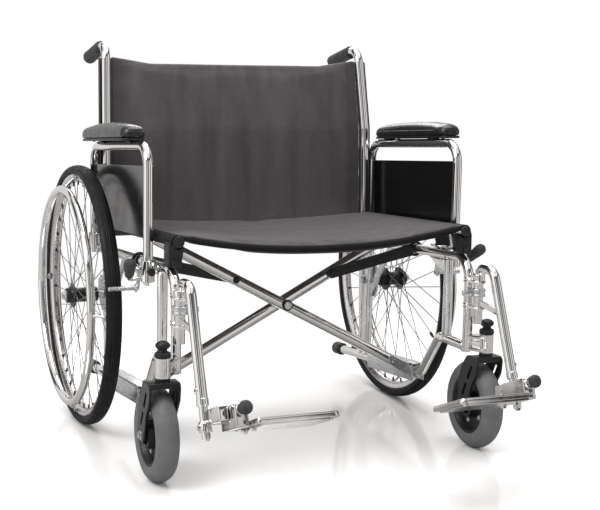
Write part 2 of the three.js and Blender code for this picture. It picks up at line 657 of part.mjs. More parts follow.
function footTube() {
  const along = hangerDirection();
  const [back, front] = flipAxis();
  const bottom = hangerEnd().addScaledVector(along, FOOT_TUBE.below);
  const stub = back.clone().lerp(front, 0.16);
  const web = sidePlate([[stub.y, back.z - 10], [back.y + 8, back.z - 14], [back.y + 10, back.z + 10],
    [stub.y, back.z + 18]], FLIP.x - FLIP.pinR, HANGER_END.x - FLIP.x + FLIP.pinR);
  return join(
    rod(hangerEnd().addScaledVector(along, -FOOT_TUBE.inside), bottom, FOOT_TUBE.r),
    web,
    rod(stub, front, FLIP.pinR, 12),
  );
}

// The plate runs parallel to its flip pin and hangs under it on a web along its outer side.
function footplate() {
  const { inner, outer, length, thickness, corner } = FOOTPLATE;
  const [back, front] = flipAxis();
  const tilt = Math.atan2(front.z - back.z, back.y - front.y);
  const outline = [[inner + corner, 0], [inner, -corner], [inner, corner - length], [inner + corner, -length],
    [outer - corner / 2, -length], [outer, corner / 2 - length], [outer, 0]];
  const { width, length: webLength, rise } = FOOTPLATE_WEB;
  const plate = join(
    floorPlate(outline, -thickness, thickness),
    box(vec(outer - width, -webLength, -thickness), vec(outer + width / 2, 0, -2)),
    box(vec(outer, -webLength, -thickness), vec(outer + width, 0, rise)),
  ).rotateX(-tilt).translate(0, FOOTPLATE.heel, FOOTPLATE.heelZ);
  const knuckle = rod(back.clone().lerp(front, KNUCKLE.start), back.clone().lerp(front, KNUCKLE.end),
    FLIP.knuckleR, 12);
  return cut(join(plate, knuckle), rod(back, back.clone().lerp(front, 1.2), boreRadius(FLIP.pinR)));
}

function footBumper() {
  const [back, front] = flipAxis();
  const along = front.clone().sub(back).normalize();
  const start = front.clone().addScaledVector(along, 2 * GAP);
  const at = (distance) => start.clone().addScaledVector(along, distance);
  return join(
    rod(start, at(BUMPER.neckLength), BUMPER.neckR, 12),
    rod(at(BUMPER.start), at(BUMPER.end), BUMPER.r, 14),
  );
}

// ---- wheel lock ----

const brakeX = BRAKE.plateX + BRAKE.thickness; // outer face of the brake plate
const brakeAt = ([y, z], x) => vec(x, y, z);
const brakeElbow = () => vec(...BRAKE_LEVER.elbow);
const brakeTip = () => vec(...BRAKE_LEVER.tip);

function brakeBracket() {
  const { y, half, halfHeight } = BRAKE_CLAMP;
  const middle = upperRailZ(y);
  const clamp = box(vec(FRAME_X, y - half, middle - halfHeight), vec(brakeX, y + half, middle + halfHeight));
  const plate = sidePlate(BRAKE_PLATE, BRAKE.plateX, BRAKE.thickness);
  const back = y + half + PAST;
  const front = y - half - PAST;
  const rail = rod(vec(FRAME_X, back, upperRailZ(back)), vec(FRAME_X, front, upperRailZ(front)),
    boreRadius(TUBE_R));
  const pins = [BRAKE.pivot, BRAKE.shoePivot].map((place) =>
    rod(brakeAt(place, BRAKE.plateX), brakeAt(place, BRAKE.plateX + BRAKE.pinReach), BRAKE.pinR));
  return cut(join(clamp, plate, ...pins), rail);
}

function pinBore(place) {
  return rod(brakeAt(place, brakeX - PAST), brakeAt(place, brakeX + BRAKE.pinReach), boreRadius(BRAKE.pinR));
}

function brakeLever() {
  const [y, z] = BRAKE.pivot;
  const x = brakeX + GAP;
  const boss = rod(vec(x, y, z), vec(x + BRAKE_LEVER.bossLength, y, z), BRAKE_LEVER.bossR, 12);
  const root = vec(x + BRAKE_LEVER.bossLength / 2, y - 8, z);
  const arm = tube([root, brakeElbow(), brakeTip()], BRAKE_LEVER.armR, BRAKE_LEVER.bend, 8);
  return cut(join(boss, arm), pinBore(BRAKE.pivot));
}

function brakeGrip() {
  const end = brakeTip();
  return endGrip(end, end.clone().sub(brakeElbow()).normalize(), BRAKE_LEVER.armR, BRAKE_GRIP);
}

function brakeShoe() {
  const x = brakeX + GAP;
  const [y, z] = BRAKE.shoePivot;
  const top = z + SHOE.armHalf;
  const arm = sidePlate([[SHOE.y - SHOE.footHalf, SHOE.z - 4], [SHOE.y + SHOE.footHalf, SHOE.z - 4],
    [y + SHOE.armHalf, top], [y - SHOE.armHalf, top]], x, BRAKE.thickness);
  const bar = rod(vec(x, SHOE.y, SHOE.z), vec(SHOE.outer, SHOE.y, SHOE.z), SHOE.barR);
  return cut(join(arm, bar), pinBore(BRAKE.shoePivot));
}

// ---- slings ----

function sagging(halfWidth, sag, thickness, steps) {
  const top = [];
  for (let i = 0; i <= steps; i += 1) {
    const t = (2 * i) / steps - 1;
    top.push([t * halfWidth, -sag * (1 - t * t)]);
  }
  const under = [...top].reverse().map(([x, z]) => [x, z - thickness]);
  return new THREE.Shape([...under, ...top].map(([x, z]) => new THREE.Vector2(x, z)));
}

function seatSling() {
  const length = SEAT_RAIL.back - SEAT_RAIL.front - 2 * SEAT.inset;
  const shape = sagging(BRACE.railX - TUBE_R - 2, SEAT.sag, SEAT.thickness, SEAT.steps);
  const cloth = new THREE.ExtrudeGeometry(shape, { depth: length, bevelEnabled: false });
  cloth.rotateX(Math.PI / 2).rotateX(Math.atan(UPPER_RAIL.slope));
  return cloth.translate(0, SEAT_RAIL.back - SEAT.inset, seatRailZ(SEAT_RAIL.back) + SEAT.rise);
}

function backSling() {
  const half = BACK.edgeX - TUBE_R - 4;
  return sidePlate([...BACK.profile].reverse(), -half, 2 * half);
}

// ---- assembly ----

const SIDE_PIECES = [
  ['side_frame', sideFrame, CHROME],
  ['push_grip', pushGrip, BLACK_RUBBER],
  ['rail_tip', railTip, BLACK_RUBBER],
  ['seat_saddle', seatSaddle, BLACK_PLASTIC],
  ['wheel_axle', wheelAxle, SATIN_STEEL],
  ['caster_cap', casterCap, BLACK_PLASTIC],
  ['hanger', hanger, CHROME],
  ['hanger_latch', hangerLatch, BLACK_PLASTIC],
  ['foot_tube', footTube, CHROME],
  ['footplate', footplate, CAST_ALUMINIUM],
  ['foot_bumper', footBumper, BLACK_RUBBER],
  ['arm_frame', armFrame, CHROME],
  ['arm_panel', armPanel, GLOSSY_BLACK],
  ['arm_pad', armPad, BLACK_VINYL],
  ['arm_lock', armLock, BLACK_PLASTIC],
  ['brake_bracket', brakeBracket, CHROME],
  ['brake_lever', brakeLever, CHROME],
  ['brake_grip', brakeGrip, BLACK_RUBBER],
  ['brake_shoe', brakeShoe, SATIN_STEEL],
];

const WHEEL_PIECES = [
  ['wheel_tyre', wheelTyre, BLACK_RUBBER],
  ['wheel_rim', wheelRim, SATIN_STEEL],
  ['wheel_hub', wheelHub, BLACK_PAINT],
  ['handrim', handrim, CHROME],
];

const CASTER_WHEEL_PIECES = [
  ['caster_tyre', casterTyre, GREY_RUBBER],
  ['caster_hub', casterHub, BLACK_PLASTIC],
];

function mesh(name, geometry, material) {
  const made = new THREE.Mesh(geometry, material);
  made.name = name;
  return made;
}

function placed(x, y, z, ...children) {
  const group = new THREE.Group();
  group.position.set(x, y, z);
  group.add(...children);
  return group;
}

function buildSide(name, sign) {
  const shaped = (geometry) => (sign > 0 ? geometry : mirrored(geometry));
  const made = ([piece, build, material]) => mesh(`${piece}_${name}`, shaped(build()), material);
  const link = mesh(`fold_link_${name}`, shaped(foldLink(sign > 0)), BLACK_PAINT);
  const wheel = placed(sign * WHEEL.x, AXLE.y, AXLE.z, ...WHEEL_PIECES.map(made));
  const casterWheel = placed(0, CASTER.trail, CASTER.r, ...CASTER_WHEEL_PIECES.map(made));
  const fork = made(['caster_fork', casterFork, BLACK_PAINT]);
  const caster = placed(sign * CASTER.x, CASTER.y, 0, fork, casterWheel);
  return [...SIDE_PIECES.map(made), link, wheel, caster];
}

const chair = placed(0, ORIGIN_Y, 0,
  ...buildSide('left', 1),
  ...buildSide('right', -1),
  mesh('brace_to_left', brace(BRACE.layer), CHROME),
  mesh('brace_to_right', mirrored(brace(-BRACE.layer)), CHROME),
  mesh('brace_bolt', braceBolt(), SATIN_STEEL),
  mesh('seat_sling', seatSling(), CHARCOAL_CLOTH),
  mesh('back_sling', backSling(), CHARCOAL_CLOTH));

export default chair;
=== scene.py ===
"""The looks of a folding wheelchair with an extra-wide sling seat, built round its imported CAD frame.

Metres. +X is the sitter's left, the chair faces -Y and +Z is up. Every side piece is shaped for the
sitter's left and mirrored for the right. The frame gives the places; the sizes below are the pieces' own.
"""

import json
import math

import bmesh
import bpy
from mathutils import Matrix, Vector, noise
from mathutils.bvhtree import BVHTree


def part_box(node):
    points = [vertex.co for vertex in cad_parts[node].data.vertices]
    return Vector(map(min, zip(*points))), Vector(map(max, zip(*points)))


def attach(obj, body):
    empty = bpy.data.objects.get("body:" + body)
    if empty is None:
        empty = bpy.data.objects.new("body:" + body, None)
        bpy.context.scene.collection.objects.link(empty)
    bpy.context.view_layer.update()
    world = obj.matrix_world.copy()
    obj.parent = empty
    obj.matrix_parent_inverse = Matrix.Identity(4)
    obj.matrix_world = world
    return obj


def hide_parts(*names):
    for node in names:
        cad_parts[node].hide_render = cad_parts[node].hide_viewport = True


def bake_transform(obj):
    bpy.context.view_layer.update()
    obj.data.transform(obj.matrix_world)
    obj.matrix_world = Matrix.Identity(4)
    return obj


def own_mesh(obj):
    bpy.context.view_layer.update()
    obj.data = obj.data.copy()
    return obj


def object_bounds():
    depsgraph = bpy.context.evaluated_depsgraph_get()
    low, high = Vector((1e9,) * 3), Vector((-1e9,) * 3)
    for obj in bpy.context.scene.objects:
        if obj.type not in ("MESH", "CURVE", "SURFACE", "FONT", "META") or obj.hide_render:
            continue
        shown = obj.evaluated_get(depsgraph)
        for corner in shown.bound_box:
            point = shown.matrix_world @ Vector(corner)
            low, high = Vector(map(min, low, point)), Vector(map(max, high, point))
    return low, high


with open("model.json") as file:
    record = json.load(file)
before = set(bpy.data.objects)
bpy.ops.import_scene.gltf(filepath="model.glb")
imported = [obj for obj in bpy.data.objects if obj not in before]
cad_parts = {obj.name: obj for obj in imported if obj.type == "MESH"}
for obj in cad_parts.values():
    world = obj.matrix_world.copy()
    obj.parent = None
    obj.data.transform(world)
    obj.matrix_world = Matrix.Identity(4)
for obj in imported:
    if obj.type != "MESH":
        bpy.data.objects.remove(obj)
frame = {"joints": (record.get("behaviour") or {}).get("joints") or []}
CAD_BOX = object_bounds()
JOINTS = {joint["name"]: joint for joint in frame["joints"]}
SIDES = {"left": 1, "right": -1}


def anchor(name):
    return Vector(JOINTS[name]["pos_m"])


def axis_of(name):
    return Vector(JOINTS[name]["axis"]).normalized()


# ---- places from the frame ----

AXLE = anchor("wheel_spin_left")
STEM = anchor("caster_swivel_left")
CASTER = anchor("caster_spin_left")
PIVOT = anchor("hanger_swing_left")
FLIP = anchor("footplate_flip_left")
BRAKE = anchor("brake_left")
SHOE = anchor("brake_shoe_left")
FOOT = anchor("fold_left_foot")
EYE = anchor("fold_link_left")
CROSSING = anchor("brace_crossing")
FRAME_X = FOOT.x
FOLD_AXIS = -axis_of("fold")
LOWER_SLOPE = FOLD_AXIS.z / FOLD_AXIS.y

# ---- sizes ----

TUBE_R = 0.0111
UPPER_SLOPE = -0.0588
SEAT_RISE = 0.0601
ROUND = 28  # sides of a round tube

FRONT_POST_Y = PIVOT.y + 0.035
MID_POST_Y = AXLE.y - 0.419
AXLE_POST_Y = AXLE.y - 0.006
RAIL_BACK_Y = AXLE.y + 0.176
STEP_Z = 0.237
CANE = [(0.340, 0.018, 0.098), (0.338, 0.041, 0.690), (0.330, 0.075, 0.892), (0.330, 0.228, 0.858)]
GRIP_LENGTH = 0.112

WHEEL_R = 0.305
RIM_IN, RIM_OUT = 0.268, 0.2843
HANDRIM_R, HANDRIM_TUBE = 0.249, 0.0095
HANDRIM_X = 0.039
SPOKES = 36
FLANGE_X, FLANGE_R = 0.020, 0.027

CASTER_R, CASTER_TYRE_IN, CASTER_HALF = 0.100, 0.066, 0.025
HOUSING = (0.2275, 0.270)

ARM_X = FRAME_X + 0.025
ARM_FRONT, ARM_BACK = AXLE.y - 0.397, AXLE.y + 0.046
ARM_TOP = (0.684, 0.652)
ARM_R = 0.0105
PANEL_DROP = 0.042
PAD_X, PAD_HALF = 0.379, 0.028
PAD_FRONT, PAD_BACK = AXLE.y - 0.348, AXLE.y + 0.020

SEAT_FRONT, SEAT_BACK = AXLE.y - 0.503, AXLE.y - 0.008
SEAT_RAIL_X = FRAME_X - 0.008
SADDLE_FRONT = SEAT_FRONT + 0.004
BRACE_R = 0.013
BRACE_LAYER = 0.0165


def at(x, y, z):
    """A point whose Y is measured from the rear axle."""
    return Vector((x, AXLE.y + y, z))


def upper_z(y):
    return EYE.z + UPPER_SLOPE * (y - EYE.y)


def lower_z(y):
    return FOOT.z + LOWER_SLOPE * (y - FOOT.y)


def seat_z(y):
    return upper_z(y) + SEAT_RISE


def arm_z(y):
    return ARM_TOP[0] + (ARM_TOP[1] - ARM_TOP[0]) * (y - ARM_FRONT) / (ARM_BACK - ARM_FRONT)


# ---- shapes ----


class Shape:
    """Points and faces gathered for one piece."""

    def __init__(self, points=(), faces=()):
        self.points = [Vector(point) for point in points]
        self.faces = [tuple(face) for face in faces]

    def add(self, *others):
        for other in others:
            start = len(self.points)
            self.points += other.points
            self.faces += [tuple(start + i for i in face) for face in other.faces]
        return self

    def moved(self, matrix):
        return Shape([matrix @ point for point in self.points], self.faces)

    def mirrored(self):
        points = [Vector((-point.x, point.y, point.z)) for point in self.points]
        return Shape(points, [tuple(reversed(face)) for face in self.faces])


def rounded(corners, radius, steps=9, closed=False):
    """The corner list with each inner corner turned into an arc."""
    corners = [Vector(corner) for corner in corners]
    count = len(corners)
    points = []
    for i, corner in enumerate(corners):
        if not closed and i in (0, count - 1):
            points.append(corner)
            continue
        into = (corner - corners[i - 1]).normalized()
        out = (corners[(i + 1) % count] - corner).normalized()
        turn = into.angle(out)
        if turn < 1e-3:
            points.append(corner)
            continue
        reach = min(radius, 0.49 * min((corner - corners[i - 1]).length, (corners[(i + 1) % count] - corner).length)
                    / math.tan(turn / 2))
        centre = corner + (out - into).normalized() * (reach / math.cos(turn / 2))
        start = corner - into * (reach * math.tan(turn / 2)) - centre
        spin = into.cross(out)
        for k in range(steps + 1):
            points.append(centre + Matrix.Rotation(turn * k / steps, 3, spin) @ start)
    return points


def tube(path, radius, sides=ROUND, closed=False):
    """A round tube along a path. radius is one number or one per point."""
    count = len(path)
    radii = radius if isinstance(radius, (list, tuple)) else [radius] * count
    shape = Shape()
    across = None
    for i, point in enumerate(path):
        before = path[i - 1] if closed or i > 0 else point
        after = path[(i + 1) % count] if closed or i < count - 1 else point
        along = (after - before).normalized()
        if across is None:
            across = along.orthogonal().normalized()
        across = (across - along * across.dot(along)).normalized()
        side = along.cross(across)
        for k in range(sides):
            angle = 2 * math.pi * k / sides
            shape.points.append(point + (across * math.cos(angle) + side * math.sin(angle)) * radii[i])
    for i in range(count if closed else count - 1):
        first, second = i * sides, ((i + 1) % count) * sides
        for k in range(sides):
            after = (k + 1) % sides
            shape.faces.append((first + k, first + after, second + after, second + k))
    if not closed:
        shape.faces.append(tuple(reversed(range(sides))))
        shape.faces.append(tuple((count - 1) * sides + k for k in range(sides)))
    return shape


def rod(start, end, radius, sides=ROUND, edge=0.0008):
    """A straight round bar with softened ends."""
    along = (end - start).normalized() * edge
    return tube([start, start + along, end - along, end], [radius - edge, radius, radius, radius - edge], sides)


def lathe(outline, sides=96, closed=False):
    """A solid of revolution about X from (distance along X, radius) pairs."""
    shape = Shape()
    rings = []
    for x, radius in outline:
        start = len(shape.points)
        ring = 1 if radius < 1e-6 else sides
        for k in range(ring):
            angle = 2 * math.pi * k / sides
            shape.points.append(Vector((x, radius * math.cos(angle), radius * math.sin(angle))))
        rings.append((start, ring))
    pairs = list(zip(rings, rings[1:])) + ([(rings[-1], rings[0])] if closed else [])
    for (first, first_count), (second, second_count) in pairs:
        for k in range(sides):
            after = (k + 1) % sides
            corners = [first + k % first_count, first + after % first_count, second + after % second_count,
                       second + k % second_count]
            shape.faces.append(tuple(dict.fromkeys(corners)))
    shape.faces = [face for face in shape.faces if len(face) > 2]
    return shape


def turned(start, end, outline, sides=ROUND):
    """lathe() stood along the line from start to end; outline distances are measured from start."""
    frame_matrix = (end - start).normalized().to_track_quat("X", "Z").to_matrix().to_4x4()
    return lathe(outline, sides).moved(Matrix.Translation(start) @ frame_matrix)


def plate(outlines, thickness, edge=0.0007):
    """A flat plate with softened edges, drawn in X-Y from its outer and inner outlines, centred on Z 0."""
    curve = bpy.data.curves.new("outline", "CURVE")
    curve.dimensions = "2D"
    curve.fill_mode = "BOTH"
    curve.extrude = thickness / 2 - edge
    curve.bevel_depth = edge
    curve.bevel_resolution = 1
    curve.offset = -edge
    for outline in outlines:
        spline = curve.splines.new("POLY")
        spline.points.add(len(outline) - 1)
        for point, place in zip(spline.points, outline):
            point.co = (place[0], place[1], 0, 1)
        spline.use_cyclic_u = True
    holder = bpy.data.objects.new("outline", curve)
    mesh = bpy.data.meshes.new_from_object(holder)
    shape = Shape([v.co for v in mesh.vertices], [tuple(p.vertices) for p in mesh.polygons])
    bpy.data.objects.remove(holder)
    bpy.data.meshes.remove(mesh)
    bpy.data.curves.remove(curve)
    return shape


def soft(corners, radius, steps=5):
    """A closed 2-D outline with rounded corners."""
    return rounded([(x, y, 0) for x, y in corners], radius, steps, closed=True)


def side_plate(corners, x, thickness, radius=0.004, holes=()):
    """A plate in the Y-Z plane whose middle is at x. Corners and holes are (Y, Z)."""
    stand = Matrix(((0, 0, 1, x), (1, 0, 0, 0), (0, 1, 0, 0), (0, 0, 0, 1)))
    return plate([soft(corners, radius), *holes], thickness).moved(stand)


def floor_plate(corners, z, thickness, radius=0.004, holes=()):
    return plate([soft(corners, radius), *holes], thickness).moved(Matrix.Translation((0, 0, z)))


def round_hole(x, y, radius, sides=20):
    return [(x + radius * math.cos(2 * math.pi * k / sides), y + radius * math.sin(2 * math.pi * k / sides))
            for k in range(sides)]


def slot_hole(start, end, radius, sides=8):
    """An outline of a slot from start to end."""
    start, end = Vector(start), Vector(end)
    heading = math.atan2(end.y - start.y, end.x - start.x)
    points = []
    for centre, first in ((end, heading - math.pi / 2), (start, heading + math.pi / 2)):
        for k in range(sides + 1):
            angle = first + math.pi * k / sides
            points.append((centre.x + radius * math.cos(angle), centre.y + radius * math.sin(angle)))
    return points


def block(low, high, edge=0.0015, segments=2):
    """A box with rounded edges."""
    bm = bmesh.new()
    bmesh.ops.create_cube(bm, size=1)
    low, high = Vector(low), Vector(high)
    for vertex in bm.verts:
        vertex.co = Vector([(low[i] + high[i]) / 2 + vertex.co[i] * (high[i] - low[i]) for i in range(3)])
    bmesh.ops.bevel(bm, geom=bm.edges[:], offset=edge, segments=segments, affect="EDGES", profile=0.5)
    bm.verts.index_update()
    shape = Shape([v.co for v in bm.verts], [tuple(v.index for v in f.verts) for f in bm.faces])
    bm.free()
    return shape


def bolt(place, heading, radius, height=0.004, shank=0.004):
    """A hexagon bolt head on a washer, its face looking along heading."""
    heading = heading.normalized()
    start = place - heading * shank
    washer = turned(start, place, [(0, 0), (0, radius * 1.3), (shank + 0.001, radius * 1.3), (shank + 0.001, 0)], 24)
    head = turned(place, place + heading, [(0, 0), (0, radius), (height - 0.0006, radius), (height, radius * 0.86),
                                           (height, 0)], 6)
    return washer.add(head)


def dome(place, heading, radius, height=0.003):
    """A low round screw head."""
    outline = [(0, radius)] + [(height * math.sin(a), radius * math.cos(a)) for a in (0.5, 0.9, 1.2)] + [(height, 0)]
    return turned(place, place + heading, outline, 16)


def weld(place, heading, radius, bead=0.0016):
    """A weld bead round a tube of the given radius."""
    heading = heading.normalized()
    across = heading.orthogonal().normalized()
    ring = []
    for k in range(40):
        ring.append(place + Matrix.Rotation(2 * math.pi * k / 40, 3, heading) @ across * radius)
    return tube(ring, [bead * (1 + 0.18 * (-1) ** k) for k in range(40)], 8, closed=True)


def make(name, finish, *shapes, sharp=38):
    """A piece with smooth faces that break at its hard edges."""
    whole = Shape().add(*shapes)
    mesh = bpy.data.meshes.new(name)
    mesh.from_pydata(whole.points, [], whole.faces)
    bm = bmesh.new()
    bm.from_mesh(mesh)
    bmesh.ops.recalc_face_normals(bm, faces=bm.faces)
    bm.to_mesh(mesh)
    bm.free()
    return dress(name, finish, mesh, sharp)


def dress(name, finish, mesh, sharp=38):
    for polygon in mesh.polygons:
        polygon.use_smooth = True
    mesh.set_sharp_from_angle(angle=math.radians(sharp))
    material, slot = FINISHES[finish]
    mesh.materials.clear()
    mesh.materials.append(material)
    piece = bpy.data.objects.new(name, mesh)
    bpy.context.scene.collection.objects.link(piece)
    return piece


def both(name, body, finish, *shapes, nodes=(), sharp=38):
    """The same piece on both sides, riding body_left and body_right and standing for the named CAD nodes."""
    left = Shape().add(*shapes)
    for side, sign in SIDES.items():
        piece = make(f"{name}_{side}", finish, left if sign > 0 else left.mirrored(), sharp=sharp)
        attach(piece, f"{body}_{side}")
        if nodes:
            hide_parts(*[f"{node}_{side}" for node in nodes])


# ---- materials ----


class Surface:
    """A Principled material that is built up with noise, colour and bumps in the piece's own coordinates."""

    def __init__(self, name, colour, roughness, metallic=0.0, **inputs):
        self.material = bpy.data.materials.new(name)
        self.material.use_nodes = True
        self.tree = self.material.node_tree
        self.shader = self.tree.nodes["Principled BSDF"]
        self.shader.inputs["Base Color"].default_value = (*colour, 1)
        self.shader.inputs["Roughness"].default_value = roughness
        self.shader.inputs["Metallic"].default_value = metallic
        for name, value in inputs.items():
            self.shader.inputs[name.replace("_", " ")].default_value = value
        self.place = self.node("ShaderNodeTexCoord").outputs["Object"]
        self.normal = None

    def node(self, kind, **settings):
        made = self.tree.nodes.new(kind)
        for key, value in settings.items():
            setattr(made, key, value)
        return made

    def wire(self, source, target):
        self.tree.links.new(source, target)

    def stretched(self, stretch, turn=(0, 0, 0)):
        mapping = self.node("ShaderNodeMapping")
        mapping.inputs["Scale"].default_value = stretch
        mapping.inputs["Rotation"].default_value = turn
        self.wire(self.place, mapping.inputs["Vector"])
        return mapping.outputs["Vector"]

    def noise(self, scale, detail=4.0, stretch=(1, 1, 1), turn=(0, 0, 0)):
        texture = self.node("ShaderNodeTexNoise")
        texture.inputs["Scale"].default_value = scale
        texture.inputs["Detail"].default_value = detail
        self.wire(self.stretched(stretch, turn), texture.inputs["Vector"])
        return texture.outputs["Fac"]

    def cells(self, scale, feature="F1", stretch=(1, 1, 1)):
        texture = self.node("ShaderNodeTexVoronoi", feature=feature)
        texture.inputs["Scale"].default_value = scale
        self.wire(self.stretched(stretch), texture.inputs["Vector"])
        return texture.outputs["Distance"]

    def threads(self, direction, pitch):
        """Ridges across one direction, one per pitch."""
        texture = self.node("ShaderNodeTexWave", bands_direction=direction)
        texture.inputs["Scale"].default_value = math.pi / (10 * pitch)
        texture.inputs["Distortion"].default_value = 0.6
        texture.inputs["Detail Scale"].default_value = 2.0
        self.wire(self.place, texture.inputs["Vector"])
        return texture.outputs["Fac"]

    def mapped(self, value, low, high, start=0.3, end=0.7):
        node = self.node("ShaderNodeMapRange")
        for key, number in zip(("From Min", "From Max", "To Min", "To Max"), (start, end, low, high)):
            node.inputs[key].default_value = number
        self.wire(value, node.inputs["Value"])
        return node.outputs["Result"]

    def maths(self, operation, first, second):
        node = self.node("ShaderNodeMath", operation=operation)
        for socket, value in zip(node.inputs, (first, second)):
            if isinstance(value, (int, float)):
                socket.default_value = value
            else:
                self.wire(value, socket)
        return node.outputs["Value"]

    def tint(self, value, first, second):
        """Colour that goes from first to second with a value from 0 to 1."""
        node = self.node("ShaderNodeMix", data_type="RGBA")
        node.inputs["A"].default_value = (*first, 1)
        node.inputs["B"].default_value = (*second, 1)
        self.wire(value, node.inputs["Factor"])
        self.wire(node.outputs["Result"], self.shader.inputs["Base Color"])
        return self

    def rough(self, value, low, high):
        self.wire(self.mapped(value, low, high), self.shader.inputs["Roughness"])
        return self

    def bump(self, value, distance, strength=1.0):
        node = self.node("ShaderNodeBump")
        node.inputs["Distance"].default_value = distance
        node.inputs["Strength"].default_value = strength
        self.wire(value, node.inputs["Height"])
        if self.normal is not None:
            self.wire(self.normal, node.inputs["Normal"])
        self.normal = node.outputs["Normal"]
        self.wire(self.normal, self.shader.inputs["Normal"])
        return self


def chrome():
    look = Surface("chrome_plate", (0.88, 0.885, 0.9), 0.06, 1.0)
    look.tint(look.mapped(look.noise(9), 0, 1), (0.86, 0.85, 0.84), (0.77, 0.76, 0.75))
    look.rough(look.noise(45, 6), 0.03, 0.1)
    return look.bump(look.noise(70, 2), 0.00012, 0.5).bump(look.noise(2600, 2), 0.000012, 0.4).material


def satin_steel():
    look = Surface("satin_steel", (0.68, 0.69, 0.71), 0.3, 1.0)
    grain = look.noise(260, 5, (1, 0.05, 1))
    look.tint(look.mapped(look.noise(30), 0, 1), (0.72, 0.73, 0.745), (0.58, 0.59, 0.61))
    look.rough(grain, 0.2, 0.42)
    return look.bump(grain, 0.00006, 0.5).material


def rim_steel():
    look = Surface("rim_steel", (0.7, 0.69, 0.69), 0.22, 1.0)
    look.tint(look.mapped(look.noise(14), 0, 1), (0.72, 0.70, 0.70), (0.60, 0.585, 0.585))
    look.rough(look.noise(90, 5), 0.14, 0.3)
    return look.bump(look.noise(500, 3), 0.00003, 0.5).material


def spoke_steel():
    look = Surface("spoke_steel", (0.3, 0.29, 0.29), 0.3, 1.0)
    look.tint(look.mapped(look.noise(40), 0, 1), (0.34, 0.33, 0.33), (0.22, 0.215, 0.215))
    look.rough(look.noise(120, 4), 0.22, 0.4)
    return look.bump(look.noise(900, 3), 0.00002, 0.5).material


def cast_aluminium():
    look = Surface("cast_aluminium", (0.8, 0.805, 0.81), 0.18, 1.0)
    look.tint(look.mapped(look.noise(22), 0, 1), (0.76, 0.75, 0.745), (0.62, 0.615, 0.61))
    look.rough(look.noise(60, 6), 0.08, 0.22)
    return look.bump(look.noise(600, 3), 0.00002, 0.3).bump(look.noise(22, 2), 0.0001, 0.15).material


def black_paint():
    look = Surface("black_paint", (0.008, 0.0078, 0.008), 0.32, 0.0, Coat_Weight=0.12, Coat_Roughness=0.2,
                   Specular_IOR_Level=0.3)
    look.tint(look.mapped(look.noise(35), 0, 1), (0.005, 0.0048, 0.005), (0.012, 0.0115, 0.012))
    look.rough(look.noise(80, 5), 0.24, 0.44)
    return look.bump(look.cells(900), 0.00006, 0.5).material


def black_plastic():
    look = Surface("black_plastic", (0.01, 0.0098, 0.01), 0.42, 0.0, Specular_IOR_Level=0.32)
    look.tint(look.mapped(look.noise(60), 0, 1), (0.007, 0.0068, 0.007), (0.016, 0.0155, 0.016))
    look.rough(look.noise(120, 5), 0.3, 0.52)
    return look.bump(look.noise(1400, 3), 0.00006, 0.6).material


def panel_gloss():
    look = Surface("panel_gloss", (0.004, 0.0035, 0.0035), 0.14, 0.0, Coat_Weight=0.22, Coat_Roughness=0.16,
                   Specular_IOR_Level=0.3)
    look.tint(look.mapped(look.noise(12), 0, 1), (0.002, 0.0017, 0.0017), (0.005, 0.0045, 0.0045))
    look.rough(look.noise(50, 6), 0.12, 0.2)
    return look.bump(look.noise(9, 2), 0.0008, 0.12).bump(look.noise(900, 2), 0.00002, 0.35).material


def black_rubber():
    look = Surface("black_rubber", (0.018, 0.018, 0.019), 0.62)
    look.tint(look.mapped(look.noise(55, 6), 0, 1), (0.012, 0.012, 0.0125), (0.04, 0.039, 0.04))
    look.rough(look.noise(150, 5), 0.5, 0.8)
    return look.bump(look.noise(1600, 4), 0.0001, 0.6).material


def tyre_rubber():
    look = Surface("tyre_rubber", (0.01, 0.0097, 0.01), 0.55, 0.0, Specular_IOR_Level=0.22)
    look.tint(look.mapped(look.noise(25, 7), 0, 1), (0.004, 0.0038, 0.0038), (0.011, 0.0104, 0.0104))
    look.rough(look.noise(110, 5), 0.42, 0.72)
    return look.bump(look.noise(1200, 4), 0.00012, 0.6).material


def grey_rubber():
    look = Surface("grey_rubber", (0.15, 0.155, 0.16), 0.5)
    look.tint(look.mapped(look.noise(38, 7), 0, 1), (0.086, 0.087, 0.089), (0.112, 0.113, 0.116))
    look.rough(look.noise(90, 5), 0.34, 0.62)
    return look.bump(look.noise(700, 4), 0.00008, 0.4).material


BACK_SHADE = (0.262, 0.306)  # painted shade: from this far out to this far the back's cloth is darkened towards the canes


def sling_cloth(name, across, painted_shade_by=1.0, shine=0.3):
    """A close plain weave over a thin filling. across is the letter of the second thread direction."""
    look = Surface(name, (0.05, 0.047, 0.05), 0.7, 0.0, Sheen_Weight=shine * painted_shade_by, Sheen_Roughness=0.45,
                   Specular_IOR_Level=shine)
    weave = look.maths("MULTIPLY", look.threads("X", 0.0011), look.threads(across, 0.0011))
    streaks = look.noise(26, 6, (0.16, 1.0, 1.0) if across == "Y" else (1.0, 1.0, 0.12))
    shade = look.maths("ADD", look.mapped(streaks, 0, 0.72), look.mapped(look.noise(170, 5), 0, 0.28))
    # On the back, rim is painted shade that darkens the cloth towards the canes.
    if across == "Z":
        split = look.node("ShaderNodeSeparateXYZ")
        look.wire(look.place, split.inputs["Vector"])
        rim = look.mapped(look.maths("ABSOLUTE", split.outputs["X"], 0), 1, 0, BACK_SHADE[0], BACK_SHADE[1])
        shade = look.maths("MULTIPLY", shade, rim)
    # painted_shade_by darkens this copy of the cloth as painted shade; 1 leaves it as the back's.
    dark, light = (0.040, 0.035, 0.0365), (0.082, 0.073, 0.076)
    look.tint(shade, [part * painted_shade_by for part in dark], [part * painted_shade_by for part in light])
    look.rough(look.noise(60, 5), 0.58, 0.8)
    look.bump(streaks, 0.0007, 0.3)
    look.bump(look.noise(240, 3), 0.0002, 0.25)
    return look.bump(weave, 0.00022, 0.6).material


